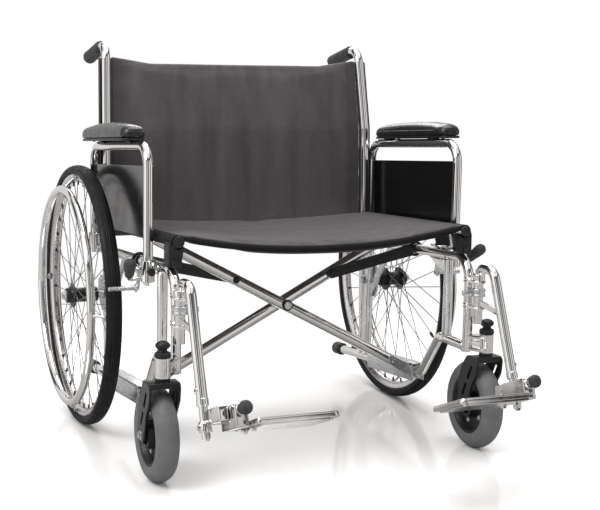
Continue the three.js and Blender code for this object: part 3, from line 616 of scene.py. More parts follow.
def thread():
    look = Surface("sewing_thread", (0.03, 0.029, 0.03), 0.6)
    look.tint(look.mapped(look.noise(300), 0, 1), (0.02, 0.02, 0.021), (0.055, 0.053, 0.055))
    return look.bump(look.threads("DIAGONAL", 0.0006), 0.0001, 0.7).material


def vinyl():
    look = Surface("pad_vinyl", (0.011, 0.0105, 0.011), 0.32, 0.0, Coat_Weight=0.15, Coat_Roughness=0.24,
                   Specular_IOR_Level=0.4)
    grain = look.cells(900, "SMOOTH_F1")
    look.tint(look.mapped(look.noise(40, 6), 0, 1), (0.007, 0.0065, 0.007), (0.015, 0.014, 0.0145))
    look.rough(look.noise(75, 5), 0.26, 0.40)
    return look.bump(look.noise(16, 2), 0.0003, 0.1).bump(grain, 0.00003, 0.12).material


FINISHES = {
    "chrome": (chrome(), "chrome_frame"),
    "satin": (satin_steel(), "satin_steel"),
    "rim": (rim_steel(), "satin_steel"),
    "spoke": (spoke_steel(), "chrome_frame"),
    "cast": (cast_aluminium(), "cast_aluminium"),
    "paint": (black_paint(), "black_paint"),
    "plastic": (black_plastic(), "black_plastic"),
    "panel": (panel_gloss(), "side_panel"),
    "rubber": (black_rubber(), "black_rubber"),
    "tyre": (tyre_rubber(), "wheel_tyre"),
    "grey": (grey_rubber(), "grey_rubber"),
    # The seat cloth (0.72) and the hem cloth (0.16) are darkened copies of the back cloth: painted shade, deepest on
    # the hem cloth of the front roll and the rail sleeves.
    "seat": (sling_cloth("seat_cloth", "Y", 0.72, 0.22), "sling_fabric"),
    "hem": (sling_cloth("hem_painted_shade_cloth", "Y", 0.16, 0.10), "sling_fabric"),
    "back": (sling_cloth("back_cloth", "Z"), "sling_fabric"),
    "thread": (thread(), "sling_fabric"),
    "vinyl": (vinyl(), "pad_vinyl"),
}


# ---- side frames ----


def cane_path():
    return rounded([at(*corner) for corner in CANE], 0.036, 12)


def side_tubes():
    x = FRAME_X
    top_front = Vector((x, FRONT_POST_Y, upper_z(FRONT_POST_Y)))
    rail_end = Vector((x, AXLE.y + 0.033, upper_z(AXLE.y + 0.033)))
    upper = rounded([rail_end, top_front, Vector((x, FRONT_POST_Y, 0.229))], 0.050, 14)
    step_foot = AXLE.y - 0.303
    lower = rounded([Vector((x, FRONT_POST_Y, STEP_Z)), Vector((x, AXLE.y - 0.388, STEP_Z)),
                     Vector((x, step_foot, lower_z(step_foot))), Vector((x, RAIL_BACK_Y, lower_z(RAIL_BACK_Y)))],
                    0.028, 12)
    posts = [tube([Vector((x, MID_POST_Y, STEP_Z)), Vector((x, MID_POST_Y, upper_z(MID_POST_Y)))], TUBE_R),
             tube([Vector((x, AXLE_POST_Y, lower_z(AXLE_POST_Y))),
                   Vector((x, AXLE_POST_Y, upper_z(AXLE_POST_Y)))], TUBE_R)]
    up, back = Vector((0, 0, 1)), Vector((0, 1, UPPER_SLOPE))
    beads = [weld(Vector((x, y, z + rise)), up, TUBE_R + 0.0006) for y, z, rise in (
        (MID_POST_Y, upper_z(MID_POST_Y), -TUBE_R), (MID_POST_Y, STEP_Z, TUBE_R),
        (AXLE_POST_Y, upper_z(AXLE_POST_Y), -TUBE_R), (AXLE_POST_Y, lower_z(AXLE_POST_Y), TUBE_R))]
    beads.append(weld(Vector((x, FRONT_POST_Y + TUBE_R, STEP_Z)), back, TUBE_R + 0.0006))
    foot_cap = turned(Vector((x, FRONT_POST_Y, 0.229)), Vector((x, FRONT_POST_Y, 0.2)),
                      [(-0.001, 0), (-0.001, TUBE_R - 0.001), (0.002, TUBE_R - 0.003), (0.002, 0)])
    return Shape().add(tube(upper, TUBE_R), tube(lower, TUBE_R), tube(cane_path(), TUBE_R), foot_cap, *posts, *beads)


def caster_housing():
    """The chrome barrel beside the front post, with the two straps that hold it."""
    low, high = HOUSING
    radius = 0.016
    barrel = turned(Vector((STEM.x, STEM.y, low)), Vector((STEM.x, STEM.y, high)), [
        (0, 0.009), (0, radius - 0.001), (0.001, radius), (0.006, radius), (0.0066, radius - 0.0008),
        (0.0074, radius - 0.0008), (0.008, radius), (high - low - 0.001, radius), (high - low, radius - 0.001),
        (high - low, 0.009)], 40)
    straps = [floor_plate([(FRAME_X - 0.009, FRONT_POST_Y - 0.006), (STEM.x - 0.010, STEM.y - 0.013),
                           (STEM.x + 0.008, STEM.y + 0.012), (FRAME_X + 0.009, FRONT_POST_Y + 0.009)],
                          z, 0.008, 0.003) for z in (low + 0.007, high - 0.007)]
    web = floor_plate([(FRAME_X + 0.004, FRONT_POST_Y - 0.004), (STEM.x - 0.012, STEM.y - 0.006),
                       (STEM.x - 0.006, STEM.y + 0.008), (FRAME_X + 0.008, FRONT_POST_Y + 0.005)],
                      (low + high) / 2, high - low - 0.012, 0.002)
    return barrel.add(web, *straps)


def hanger_brackets():
    """Two forked lugs on the front post that carry the hanger's pivot tube."""
    plates = [floor_plate([(FRAME_X - 0.010, FRONT_POST_Y + 0.002), (PIVOT.x - 0.016, PIVOT.y - 0.004),
                           (PIVOT.x - 0.008, PIVOT.y - 0.0155), (PIVOT.x + 0.008, PIVOT.y - 0.0155),
                           (PIVOT.x + 0.016, PIVOT.y - 0.004), (FRAME_X + 0.010, FRONT_POST_Y + 0.002)],
                          z, 0.006, 0.003) for z in (0.333, 0.391)]
    beads = [weld(Vector((FRAME_X, FRONT_POST_Y, z)), Vector((0, 0, 1)), TUBE_R + 0.0005, 0.0013)
             for z in (0.3295, 0.3365, 0.3875, 0.3945)]
    return Shape().add(*plates, *beads)


def arm_sockets():
    shape = Shape()
    for y in (ARM_FRONT, ARM_BACK):
        low, high = 0.400, 0.446
        shape.add(turned(Vector((ARM_X, y, low)), Vector((ARM_X, y, high)), [
            (0, ARM_R + 0.0006), (0, 0.0135), (0.001, 0.0145), (0.045, 0.0145), (0.046, 0.0135),
            (0.046, ARM_R + 0.0006), (0.020, ARM_R + 0.0006)], 32))
        z = upper_z(y)
        shape.add(block((FRAME_X + 0.006, y - 0.010, z - 0.007), (ARM_X - 0.010, y + 0.005, z + 0.009), 0.002))
        shape.add(bolt(Vector((ARM_X - 0.0165, y - 0.010, z)), Vector((0, -1, 0)), 0.0045, 0.003, 0.001))
    return shape


def axle_plate():
    corners = [(-0.030, 0.282), (-0.014, 0.262), (0.020, 0.262), (0.052, 0.290), (0.052, 0.330), (0.030, 0.346),
               (-0.020, 0.346), (-0.030, 0.330)]
    places = [(AXLE.y + y, z) for y, z in corners]
    hole = round_hole(AXLE.y + 0.036, 0.310, 0.006)
    shape = side_plate(places, FRAME_X + TUBE_R + 0.0015, 0.006, 0.006, [hole])
    out = Vector((1, 0, 0))
    for y, z in ((-0.006, 0.334), (-0.006, 0.275), (0.030, 0.334)):
        shape.add(bolt(at(FRAME_X + TUBE_R + 0.0045, y, z), out, 0.0055, 0.0035))
    return shape.add(bolt(at(FRAME_X - TUBE_R - 0.001, 0, AXLE.z), -out, 0.0105, 0.008, 0.006),
                     rod(at(FRAME_X - 0.020, 0, AXLE.z), at(FRAME_X + 0.015, 0, AXLE.z), 0.008))


def gusset():
    """The flat bar from the upper rail down to the axle post."""
    y, z = AXLE.y - 0.127, upper_z(AXLE.y - 0.127)
    corners = [(y + 0.004, z + 0.002), (y - 0.014, z - 0.006), (AXLE.y - 0.014, 0.262), (AXLE.y + 0.001, 0.274)]
    return side_plate(corners, FRAME_X, 0.0055, 0.003)


def sleeve(start, end, bore, outline, sides=32):
    """A hollow grip over a bar, from its open end at start to its closed end at end."""
    length = (end - start).length
    inner = [(length - 0.004, 0), (length - 0.004, bore), (0, bore)]
    return turned(start, end, inner + outline(length) + [(length, 0)], sides)


def push_grip():
    path = cane_path()
    end, along = path[-1], (path[-1] - path[-2]).normalized()

    def ribbed(length):
        points = [(0, 0.0135), (0.001, 0.0158), (0.005, 0.0165), (0.009, 0.0158)]
        ribs = 15
        for k in range(ribs):
            x = 0.013 + k * (length - 0.032) / ribs
            points += [(x, 0.0152), (x + 0.0012, 0.0161), (x + 0.0042, 0.0161), (x + 0.0054, 0.0152)]
        return points + [(length - 0.012, 0.0158), (length - 0.006, 0.0165), (length - 0.0015, 0.0155), (length, 0.011)]

    return sleeve(end - along * GRIP_LENGTH, end + along * 0.005, TUBE_R, ribbed, 40)


def rail_tip():
    end = Vector((FRAME_X, RAIL_BACK_Y, lower_z(RAIL_BACK_Y)))
    along = Vector((0, 1, LOWER_SLOPE)).normalized()

    def capped(length):
        return [(0, 0.0140), (0.001, 0.0152), (0.004, 0.0152), (0.005, 0.0165), (length - 0.004, 0.0165),
                (length - 0.001, 0.0145), (length, 0.010)]

    return sleeve(end - along * 0.036, end + along * 0.005, TUBE_R, capped)


def seat_saddle():
    """The black block on the front of the upper rail that the seat rail drops into, open at its top."""
    front, back = SADDLE_FRONT, SADDLE_FRONT + 0.038
    middle = (front + back) / 2
    x, top, foot = SEAT_RAIL_X, seat_z(middle), 0.446
    reach = TUBE_R + 0.0032
    inner = [(x + reach * math.cos(a), top + reach * math.sin(a))
             for a in [math.radians(214 + 136 * k / 14) for k in range(15)]]
    outline = [(FRAME_X - 0.0150, foot), (x - reach * 0.92, top - reach * 0.80)]
    outline += inner + [(x + reach + 0.0022, top - 0.001), (FRAME_X + 0.0105, top - 0.008), (FRAME_X + 0.011, foot)]
    stand = Matrix(((1, 0, 0, 0), (0, 0, -1, middle), (0, 1, 0, 0), (0, 0, 0, 1)))
    body = plate([outline], back - front, 0.0012).moved(stand)
    for place in (-0.010, 0.010):
        body.add(dome(Vector((FRAME_X - 0.0170, middle + place, 0.453)), Vector((-1, 0, 0.3)), 0.0038))
    plug = turned(Vector((FRAME_X - 0.002, front + 0.001, 0.4535)), Vector((FRAME_X - 0.002, -1, 0.4535)), [
        (0, 0), (0, 0.0088), (0.0050, 0.0092), (0.0075, 0.0080), (0.0084, 0.005), (0.0086, 0)], 28)
    return body.add(plug)


def build_side_frames():
    both("side_tubes", "side", "chrome", side_tubes(), nodes=["side_frame"])
    both("caster_housing", "side", "chrome", caster_housing())
    both("hanger_brackets", "side", "chrome", hanger_brackets())
    both("arm_sockets", "side", "chrome", arm_sockets())
    both("axle_plate", "side", "satin", axle_plate())
    both("gusset", "side", "satin", gusset())
    both("grip", "side", "rubber", push_grip(), nodes=["push_grip"])
    both("tip", "side", "rubber", rail_tip(), nodes=["rail_tip"])
    both("saddle", "side", "plastic", seat_saddle(), nodes=["seat_saddle"])


# ---- rear wheels, shaped about their own centre with X as the axle ----


def wheel_tyre():
    """A tyre with three grooves round it and fine shoulder blocks."""
    steps = 30
    half, base = 0.0175, RIM_OUT - 0.0005
    crown = WHEEL_R - base
    outline = [(-0.011, base), (-half * 0.93, base + 0.004)]
    for k in range(steps + 1):
        angle = math.radians(-72 + 144 * k / steps)
        x, rise = half * math.sin(angle) * 1.05, crown * 0.42 + crown * 0.58 * math.cos(angle) ** 0.8
        groove = 0.0011 if abs(abs(x) - 0.0052) < 0.0009 or abs(x) < 0.0008 else 0.0
        outline.append((x, base + rise - groove))
    outline += [(half * 0.93, base + 0.004), (0.011, base)]
    blocks = 168
    tyre = lathe(outline, blocks * 2, closed=True)
    for point in tyre.points:
        radius = math.hypot(point.y, point.z)
        step = round(math.atan2(point.z, point.y) / (2 * math.pi) * blocks * 2)
        if 0.0062 < abs(point.x) < 0.0162 and radius > base + crown * 0.55 and step % 2:
            shrink = 1 - 0.0011 / radius
            point.y, point.z = point.y * shrink, point.z * shrink
    return tyre


def wheel_rim():
    outline = [(-0.0045, RIM_IN), (0.0045, RIM_IN), (0.0075, RIM_IN + 0.002), (0.0095, RIM_IN + 0.006),
               (0.0115, RIM_IN + 0.010), (0.0125, RIM_OUT - 0.001), (0.0118, RIM_OUT), (-0.0118, RIM_OUT),
               (-0.0125, RIM_OUT - 0.001), (-0.0115, RIM_IN + 0.010), (-0.0095, RIM_IN + 0.006), (-0.0075, RIM_IN + 0.002)]
    return lathe(outline, 144, closed=True)


def around(angle, radius, x=0.0):
    return Vector((x, radius * math.cos(angle), radius * math.sin(angle)))


def wheel_spokes():
    """Crossed wire spokes: half lean forward and half back from each hub flange."""
    shape = Shape()
    for i in range(SPOKES):
        rim_angle = 2 * math.pi * (i + 0.5) / SPOKES
        side = 1 if i % 2 == 0 else -1
        lean = math.radians(62) * (1 if (i // 2) % 2 == 0 else -1)
        inside = 0.0022 if (i // 2) % 2 == 0 else -0.0022
        hub = around(rim_angle + lean, FLANGE_R - 0.003, side * FLANGE_X + inside)
        rim = around(rim_angle, RIM_IN + 0.001, side * 0.0015)
        shape.add(tube([hub, rim], 0.00105, 6))
        shape.add(tube([hub - Vector((inside * 1.9, 0, 0)), hub], 0.0016, 6))
    return shape


def wheel_nipples():
    shape = Shape()
    for i in range(SPOKES):
        angle = 2 * math.pi * (i + 0.5) / SPOKES
        outline = [(0, 0), (0, 0.0036), (0.0015, 0.0036), (0.002, 0.0024), (0.009, 0.0019), (0.010, 0.0012), (0.010, 0)]
        shape.add(turned(around(angle, RIM_IN + 0.0005), around(angle, 0), outline, 8))
    return shape


def valve():
    angle = math.radians(205)
    start, end = around(angle, RIM_IN + 0.002), around(angle, RIM_IN - 0.030)
    return turned(start, end, [(0, 0), (0, 0.0045), (0.003, 0.004), (0.003, 0.0028), (0.020, 0.0028), (0.021, 0.004),
                               (0.031, 0.0038), (0.032, 0.0025), (0.032, 0)], 16)


def wheel_hub():
    start, end = -0.038, 0.036
    barrel = 0.018
    outline = [(start, 0.0065), (start, barrel - 0.002), (start + 0.002, barrel), (-0.026, barrel), (-0.0225, 0.0205)]
    outline += [(-FLANGE_X - 0.002, FLANGE_R + 0.001), (-FLANGE_X - 0.001, FLANGE_R + 0.002),
                (-FLANGE_X + 0.001, FLANGE_R + 0.002), (-FLANGE_X + 0.002, FLANGE_R + 0.001), (-0.0175, 0.0205),
                (-0.013, barrel - 0.001), (0.013, barrel - 0.001), (0.0175, 0.0205), (FLANGE_X - 0.002, FLANGE_R + 0.001),
                (FLANGE_X - 0.001, FLANGE_R + 0.002), (FLANGE_X + 0.001, FLANGE_R + 0.002),
                (FLANGE_X + 0.002, FLANGE_R + 0.001), (0.0225, 0.0205), (0.026, barrel), (end - 0.002, barrel),
                (end, barrel - 0.002), (end, 0.0065)]
    return lathe(outline, 64, closed=True)


def handrim_ring():
    steps = 20
    ring = [(HANDRIM_X + HANDRIM_TUBE * math.cos(2 * math.pi * k / steps),
             HANDRIM_R + HANDRIM_TUBE * math.sin(2 * math.pi * k / steps)) for k in range(steps)]
    return lathe(ring, 144, closed=True)


def handrim_tabs():
    """Four bent straps that hold the handrim off the rim, each with its bolt."""
    shape = Shape()
    for k in range(4):
        turn = Matrix.Rotation(math.pi / 2 * k, 4, "X")
        path = [Vector((0.0118, RIM_IN + 0.009, 0)), Vector((0.022, RIM_IN + 0.002, 0)),
                Vector((HANDRIM_X - 0.004, HANDRIM_R + HANDRIM_TUBE - 0.001, 0))]
        strap = tube(rounded(path, 0.008, 5), 0.0034, 12)
        pad = block((0.0116, RIM_IN + 0.004, -0.008), (0.0150, RIM_IN + 0.0145, 0.008), 0.001)
        head = bolt(Vector((0.0155, RIM_IN + 0.0095, 0)), Vector((1, 0, 0)), 0.0042, 0.0028, 0.001)
        shape.add(strap.moved(turn), pad.moved(turn), head.moved(turn))
    return shape


def wheel_axle():
    cap, start = AXLE.x + 0.0365, FRAME_X + TUBE_R + 0.0058
    spacer = turned(Vector((start, AXLE.y, AXLE.z)), Vector((1, AXLE.y, AXLE.z)),
                    [(0, 0), (0, 0.0115), (0.003, 0.0115), (0.0035, 0.0095), (AXLE.x - 0.0384 - start, 0.0095),
                     (AXLE.x - 0.0384 - start, 0)])
    outer = turned(Vector((cap, AXLE.y, AXLE.z)), Vector((1, AXLE.y, AXLE.z)),
                   [(0, 0), (0, 0.0115), (0.0028, 0.0115), (0.0045, 0.0095), (0.0085, 0.0088), (0.0095, 0.0070),
                    (0.0095, 0)], 24)
    return spacer.add(outer, rod(Vector((start, AXLE.y, AXLE.z)), Vector((cap + 0.002, AXLE.y, AXLE.z)), 0.0058))


def build_rear_wheels():
    centre = Matrix.Translation(AXLE)
    for name, finish, shape, nodes in (
            ("tyre", "tyre", wheel_tyre(), ["wheel_tyre"]), ("rim", "rim", wheel_rim(), ["wheel_rim"]),
            ("spokes", "spoke", wheel_spokes(), []), ("nipples", "paint", wheel_nipples(), []),
            ("valve", "rubber", valve(), []), ("hub", "paint", wheel_hub(), ["wheel_hub"]),
            ("pushrim", "chrome", handrim_ring(), ["handrim"]), ("pushrim_tabs", "satin", handrim_tabs(), [])):
        both(name, "wheel", finish, shape.moved(centre), nodes=nodes, sharp=30 if name == "tyre" else 38)
    both("axle", "side", "satin", wheel_axle(), nodes=["wheel_axle"])


# ---- casters ----


def caster_tyre():
    half, inner, outer = CASTER_HALF, CASTER_TYRE_IN, CASTER_R
    crown = [(half * math.sin(a) * 0.98, outer - 0.020 * (1 - math.cos(a)) ** 0.9 - 0.0006 * (k % 4 == 2))
             for k, a in enumerate([math.radians(-64 + 128 * k / 48) for k in range(49)])]
    wall = [(half * 0.97, outer - 0.018), (half, outer - 0.021), (half - 0.0004, inner + 0.012),
            (half - 0.0014, inner + 0.011), (half - 0.0016, inner + 0.005), (half - 0.004, inner)]
    left_wall = [(-x, r) for x, r in reversed(wall)]
    return lathe(left_wall + crown + wall, 120, closed=True)


def caster_hub():
    """A moulded hub: a dished disc with ribs, a rim lip and a bearing boss."""
    lip = CASTER_TYRE_IN - 0.0006
    outline = [(0.006, 0.012), (0.006, lip - 0.010), (0.018, lip - 0.006), (0.020, lip - 0.004), (0.0195, lip),
               (-0.0195, lip), (-0.020, lip - 0.004), (-0.018, lip - 0.006), (-0.006, lip - 0.010), (-0.006, 0.012)]
    disc = lathe(outline, 72, closed=True)
    boss = lathe([(-0.026, 0.0056), (-0.026, 0.011), (-0.024, 0.013), (0.024, 0.013), (0.026, 0.011),
                  (0.026, 0.0056)], 32, closed=True)
    ring = [(0.0245, 0.024), (0.0245, 0.027), (0.006, 0.031), (0.006, 0.020), (0.0245, 0.020)]
    collars = lathe(ring, 48, closed=True).add(lathe([(-x, r) for x, r in reversed(ring)], 48, closed=True))
    return disc.add(boss, collars)


def caster_bearings():
    """Steel bearing faces in the hub's boss."""
    ring = [(0.0262, 0.0056), (0.0262, 0.0098), (0.0256, 0.0102), (0.0250, 0.0102), (0.0250, 0.0056)]
    shape = lathe(ring, 32, closed=True).add(lathe([(-x, r) for x, r in reversed(ring)], 32, closed=True))
    for k in range(5):
        for side in (1, -1):
            place = around(2 * math.pi * k / 5, 0.042, side * 0.0062)
            shape.add(bolt(place, Vector((side, 0, 0)), 0.0045, 0.0035, 0.0006))
    return shape


def caster_fork():
    """Two slotted legs under a crown, with the stem and its lower washer."""
    trail = CASTER.y - STEM.y
    leg_x = 0.031
    leg = [(-0.022, 0.219), (0.025, 0.219), (0.044, 0.196), (trail + 0.019, 0.160), (trail + 0.021, 0.112),
           (trail + 0.014, 0.086), (trail - 0.013, 0.084), (trail - 0.023, 0.104), (0.004, 0.150), (-0.016, 0.180)]
    slots = [slot_hole((0.004, 0.194), (0.018, 0.168), 0.0048),
             slot_hole((0.026, 0.150), (trail - 0.001, 0.126), 0.0042)]
    shape = Shape().add(*[side_plate(leg, x, 0.0050, 0.012, slots) for x in (leg_x, -leg_x)])
    shape.add(block((-leg_x - 0.0024, -0.017, 0.2065), (leg_x + 0.0024, 0.021, 0.2195), 0.0035, 3))
    shape.add(turned(Vector((0, 0, 0.219)), Vector((0, 0, 1)), [(0, 0), (0, 0.0155), (0.0035, 0.0155), (0.0045, 0.0140),
                                                              (0.0055, 0.0155), (0.0076, 0.0150), (0.0076, 0)], 32))
    shape.add(rod(Vector((0, 0, 0.222)), Vector((0, 0, HOUSING[1] - 0.004)), 0.0059))
    return shape.moved(Matrix.Translation((STEM.x, STEM.y, 0)))


def caster_axle():
    reach = 0.0375
    ends = [CASTER + Vector((sign * reach, 0, 0)) for sign in (-1, 1)]
    shape = rod(ends[0], ends[1], 0.0049)
    for sign in (-1, 1):
        out = Vector((sign, 0, 0))
        shape.add(bolt(CASTER + out * 0.0340, out, 0.0080, 0.0050, 0.0006))
        shape.add(rod(CASTER + out * 0.0264, CASTER + out * 0.0286, 0.0080))
    return shape


def caster_cap():
    """The black cap over the housing: a knurled collar, a waist and a domed button."""
    start = Vector((STEM.x, STEM.y, HOUSING[1] + 0.0004))
    outline = [(0, 0), (0, 0.0150), (0.0010, 0.0165), (0.0035, 0.0168), (0.0060, 0.0160), (0.0085, 0.0165),
               (0.0100, 0.0150), (0.0118, 0.0105), (0.0140, 0.0092), (0.0165, 0.0094), (0.0185, 0.0125),
               (0.0205, 0.0148), (0.0235, 0.0154), (0.0268, 0.0148), (0.0300, 0.0118), (0.0322, 0.0072),
               (0.0334, 0.0030), (0.0336, 0)]
    return turned(start, start + Vector((0, 0, 1)), outline, 40)


def build_casters():
    centre = Matrix.Translation(CASTER)
    both("caster_wheel", "caster_wheel", "grey", caster_tyre().moved(centre), nodes=["caster_tyre"])
    both("caster_centre", "caster_wheel", "plastic", caster_hub().moved(centre), nodes=["caster_hub"])
    both("caster_bearings", "caster_wheel", "satin", caster_bearings().moved(centre))
    both("fork", "caster", "paint", caster_fork(), nodes=["caster_fork"])
    both("fork_axle", "caster", "satin", caster_axle())
    both("cap", "side", "plastic", caster_cap(), nodes=["caster_cap"])
    ring = turned(Vector((STEM.x, STEM.y, HOUSING[0] - 0.0009)), Vector((STEM.x, STEM.y, 1)),
                  [(0, 0.008), (0, 0.0150), (0.0008, 0.0150), (0.0008, 0.008)], 32)
    both("housing_seal", "side", "rubber", ring)


# ---- cross brace and fold links ----


def build_brace(name, side, depth, body, nodes):
    """The member from the foot on the other side's lower rail up to the seat rail on this side."""
    y = CROSSING.y + depth
    foot = Vector((-side * FRAME_X, y, lower_z(CROSSING.y)))
    head = Vector((side * SEAT_RAIL_X, y, seat_z(CROSSING.y)))
    along = (head - foot).normalized()
    member = tube([foot + along * 0.006, head], BRACE_R)
    rail = rod(Vector((side * SEAT_RAIL_X, SEAT_FRONT, seat_z(SEAT_FRONT))),
               Vector((side * SEAT_RAIL_X, SEAT_BACK, seat_z(SEAT_BACK))), TUBE_R)
    beads = weld(head - along * (TUBE_R + 0.002), along, BRACE_R + 0.0004)
    piece = make(name, "chrome", member, rail, beads)
    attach(piece, body)
    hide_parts(*nodes)

    channel_front, channel_back = AXLE.y - 0.288, AXLE.y - 0.040
    centre = Vector((-side * FRAME_X, channel_front, lower_z(channel_front)))
    tilt = Matrix.Translation(centre) @ Matrix.Rotation(math.atan(LOWER_SLOPE), 4, "X")
    length = channel_back - channel_front
    wall = 0.0030
    half, height = 0.016, 0.042
    shell = []
    for low, high in (((-half, 0, -height / 2), (wall - half, length, height / 2)),
                      ((half - wall, 0, -height / 2), (half, length, height / 2)),
                      ((-half, 0, height / 2 - wall), (half, length, height / 2))):
        shell.append(block(low, high, 0.001))
    shell.append(turned(Vector((0, 0.001, 0)), Vector((0, 1, 0)),
                        [(0, TUBE_R + 0.0008), (0, 0.0155), (0.006, 0.0155), (0.006, TUBE_R + 0.0008)], 32))
    shell.append(turned(Vector((0, length - 0.007, 0)), Vector((0, 1, 0)),
                        [(0, TUBE_R + 0.0008), (0, 0.0155), (0.006, 0.0155), (0.006, TUBE_R + 0.0008)], 32))
    channel = make(f"{name}_foot", "satin", *[part.moved(tilt) for part in shell])
    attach(channel, body)
    gusset_plate = [foot + along * 0.012 + Vector((0, 0, 0.010)), foot + along * 0.085 + Vector((0, 0, 0.011)),
                    foot + along * 0.085 - Vector((0, 0, 0.013)), foot + along * 0.012 - Vector((0, 0, 0.020))]
    stand = Matrix(((1, 0, 0, 0), (0, 0, -1, y - math.copysign(BRACE_R + 0.0012, 1)), (0, 1, 0, 0), (0, 0, 0, 1)))
    flat = plate([soft([(p.x, p.z) for p in gusset_plate], 0.006)], 0.0034).moved(stand)
    face = Vector((0, -1, 0))
    holes = [bolt(foot + along * reach + face * (BRACE_R + 0.003), face, 0.0052, 0.0032, 0.0012)
             for reach in (0.030, 0.072)]
    plate_piece = make(f"{name}_gusset", "satin", flat, *holes)
    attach(plate_piece, body)

    end = Vector((side * SEAT_RAIL_X, SEAT_FRONT, seat_z(SEAT_FRONT)))
    plugs = []
    for tip, way in ((end, Vector((0, -1, 0))), (Vector((end.x, SEAT_BACK, seat_z(SEAT_BACK))), Vector((0, 1, 0)))):
        plugs.append(turned(tip, tip + way, [(-0.001, 0), (-0.001, 0.0118), (0.0012, 0.0122), (0.0028, 0.0112),
                                             (0.0036, 0.0085), (0.0038, 0)], 28))
    plug = make(f"{name}_plugs", "plastic", *plugs)
    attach(plug, body)


def brace_bolt():
    reach = BRACE_LAYER + BRACE_R + 0.0012
    shape = rod(CROSSING - FOLD_AXIS * reach, CROSSING + FOLD_AXIS * reach, 0.0049)
    for sign in (-1, 1):
        shape.add(bolt(CROSSING + FOLD_AXIS * (sign * reach), FOLD_AXIS * sign, 0.0098, 0.0050, 0.0002))
    shape.add(rod(CROSSING - FOLD_AXIS * 0.0030, CROSSING + FOLD_AXIS * 0.0030, 0.0130))
    return shape


def link_meet(side):
    """The middle of the fold link's far end, taken from its box."""
    low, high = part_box(f"fold_link_{'left' if side > 0 else 'right'}")
    y = anchor("fold_link_left" if side > 0 else "fold_link_right").y
    wrist = 0.013
    return Vector(((low.x + wrist) if side > 0 else (high.x - wrist), y, low.z + wrist + 0.0005))


def fold_link(side):
    """A flat bar from an eye on the upper rail to the brace: wide at the rail, with a pressed rib along it."""
    meet = link_meet(side)
    y = meet.y
    hinge = Vector((side * FRAME_X, y, upper_z(y)))
    wrist = 0.013
    length = (meet - hinge).length
    heading = math.atan2(meet.z - hinge.z, meet.x - hinge.x)
    half = 0.0118
    eye = [(0.0185 * math.cos(a), 0.0185 * math.sin(a)) for a in
           [math.radians(52 + 256 * k / 24) for k in range(25)]]
    nose = [(length + wrist * math.cos(a), wrist * math.sin(a)) for a in
            [math.radians(-65 + 130 * k / 12) for k in range(13)]]
    outline = eye + [(0.060, -half - 0.0014), (length - 0.012, -half)] + nose
    outline += [(length - 0.012, half), (0.060, half + 0.0014)]
    bore = round_hole(0, 0, TUBE_R + 0.0008, 28)
    stand = Matrix(((1, 0, 0, 0), (0, 0, -1, 0), (0, 1, 0, 0), (0, 0, 0, 1)))
    spin = Matrix.Rotation(-heading, 4, "Y")
    flat = plate([outline, bore], 0.0056, 0.0009).moved(stand)
    rib = plate([soft([(0.034, -0.0045), (length - 0.020, -0.0045), (length - 0.020, 0.0045), (0.034, 0.0045)],
                      0.0044)], 0.0076, 0.0010).moved(stand)
    face = -1 if side > 0 else 1
    nut = bolt(Vector((length, face * 0.0030, 0)), Vector((0, face, 0)), 0.0078, 0.0042, 0.0006)
    return flat.add(rib, nut).moved(Matrix.Translation(hinge) @ spin)


def build_folding():
    build_brace("brace_rear", 1, BRACE_LAYER, "brace_a", ["brace_to_left"])
    build_brace("brace_front", -1, -BRACE_LAYER, "brace_b", ["brace_to_right"])
    pivot = make("brace_pivot", "satin", brace_bolt())
    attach(pivot, "brace_a")
    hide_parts("brace_bolt")
    ring = turned(CROSSING - FOLD_AXIS * (BRACE_LAYER + BRACE_R + 0.0008), CROSSING - FOLD_AXIS,
                  [(0, 0.005), (0, 0.0128), (0.0022, 0.0128), (0.0034, 0.0112), (0.0034, 0.005)], 32)
    collar = make("brace_pivot_collar", "plastic", ring)
    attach(collar, "brace_a")
    meet = link_meet(-1)
    front = Vector((meet.x, CROSSING.y - BRACE_LAYER - BRACE_R - 0.0006, meet.z))
    head = make("link_bolt_right", "paint", bolt(front, Vector((0, -1, 0)), 0.0060, 0.0040, 0.0040))
    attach(head, "brace_b")
    for side, sign in SIDES.items():
        link = make(f"link_{side}", "paint", fold_link(sign))
        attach(link, f"link_{side}")
        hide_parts(f"fold_link_{side}")


# ---- arms ----


def arm_tube():
    corners = [Vector((ARM_X, ARM_FRONT, 0.402)), Vector((ARM_X, ARM_FRONT, ARM_TOP[0])),
               Vector((ARM_X, ARM_BACK, ARM_TOP[1])), Vector((ARM_X, ARM_BACK, 0.402))]
    return tube(rounded(corners, 0.045, 14), ARM_R)


def arm_panel():
    """The side panel: a flat plate with rounded corners."""
    front, back = ARM_FRONT + ARM_R + 0.0028, ARM_BACK - ARM_R - 0.0028
    corners = [(front, 0.492), (back, 0.466), (back, ARM_TOP[1] - PANEL_DROP), (front, ARM_TOP[0] - PANEL_DROP)]
    return side_plate(corners, ARM_X, 0.004, 0.006)


def panel_trim():
    """The screws and the edge strip that hold the panel to the posts."""
    front, back = ARM_FRONT + ARM_R + 0.0028, ARM_BACK - ARM_R - 0.0028
    shape = Shape()
    for y, low, high in ((front, 0.494, ARM_TOP[0] - PANEL_DROP - 0.002), (back, 0.468, ARM_TOP[1] - PANEL_DROP - 0.002)):
        shape.add(block((ARM_X - 0.0032, y - 0.0045, low), (ARM_X + 0.0032, y + 0.0045, high), 0.0010))
        for share in (0.15, 0.85):
            z = low + (high - low) * share
            for way in (-1, 1):
                shape.add(dome(Vector((ARM_X + way * 0.0030, y, z)), Vector((way, 0, 0)), 0.0034, 0.0018))
    return shape


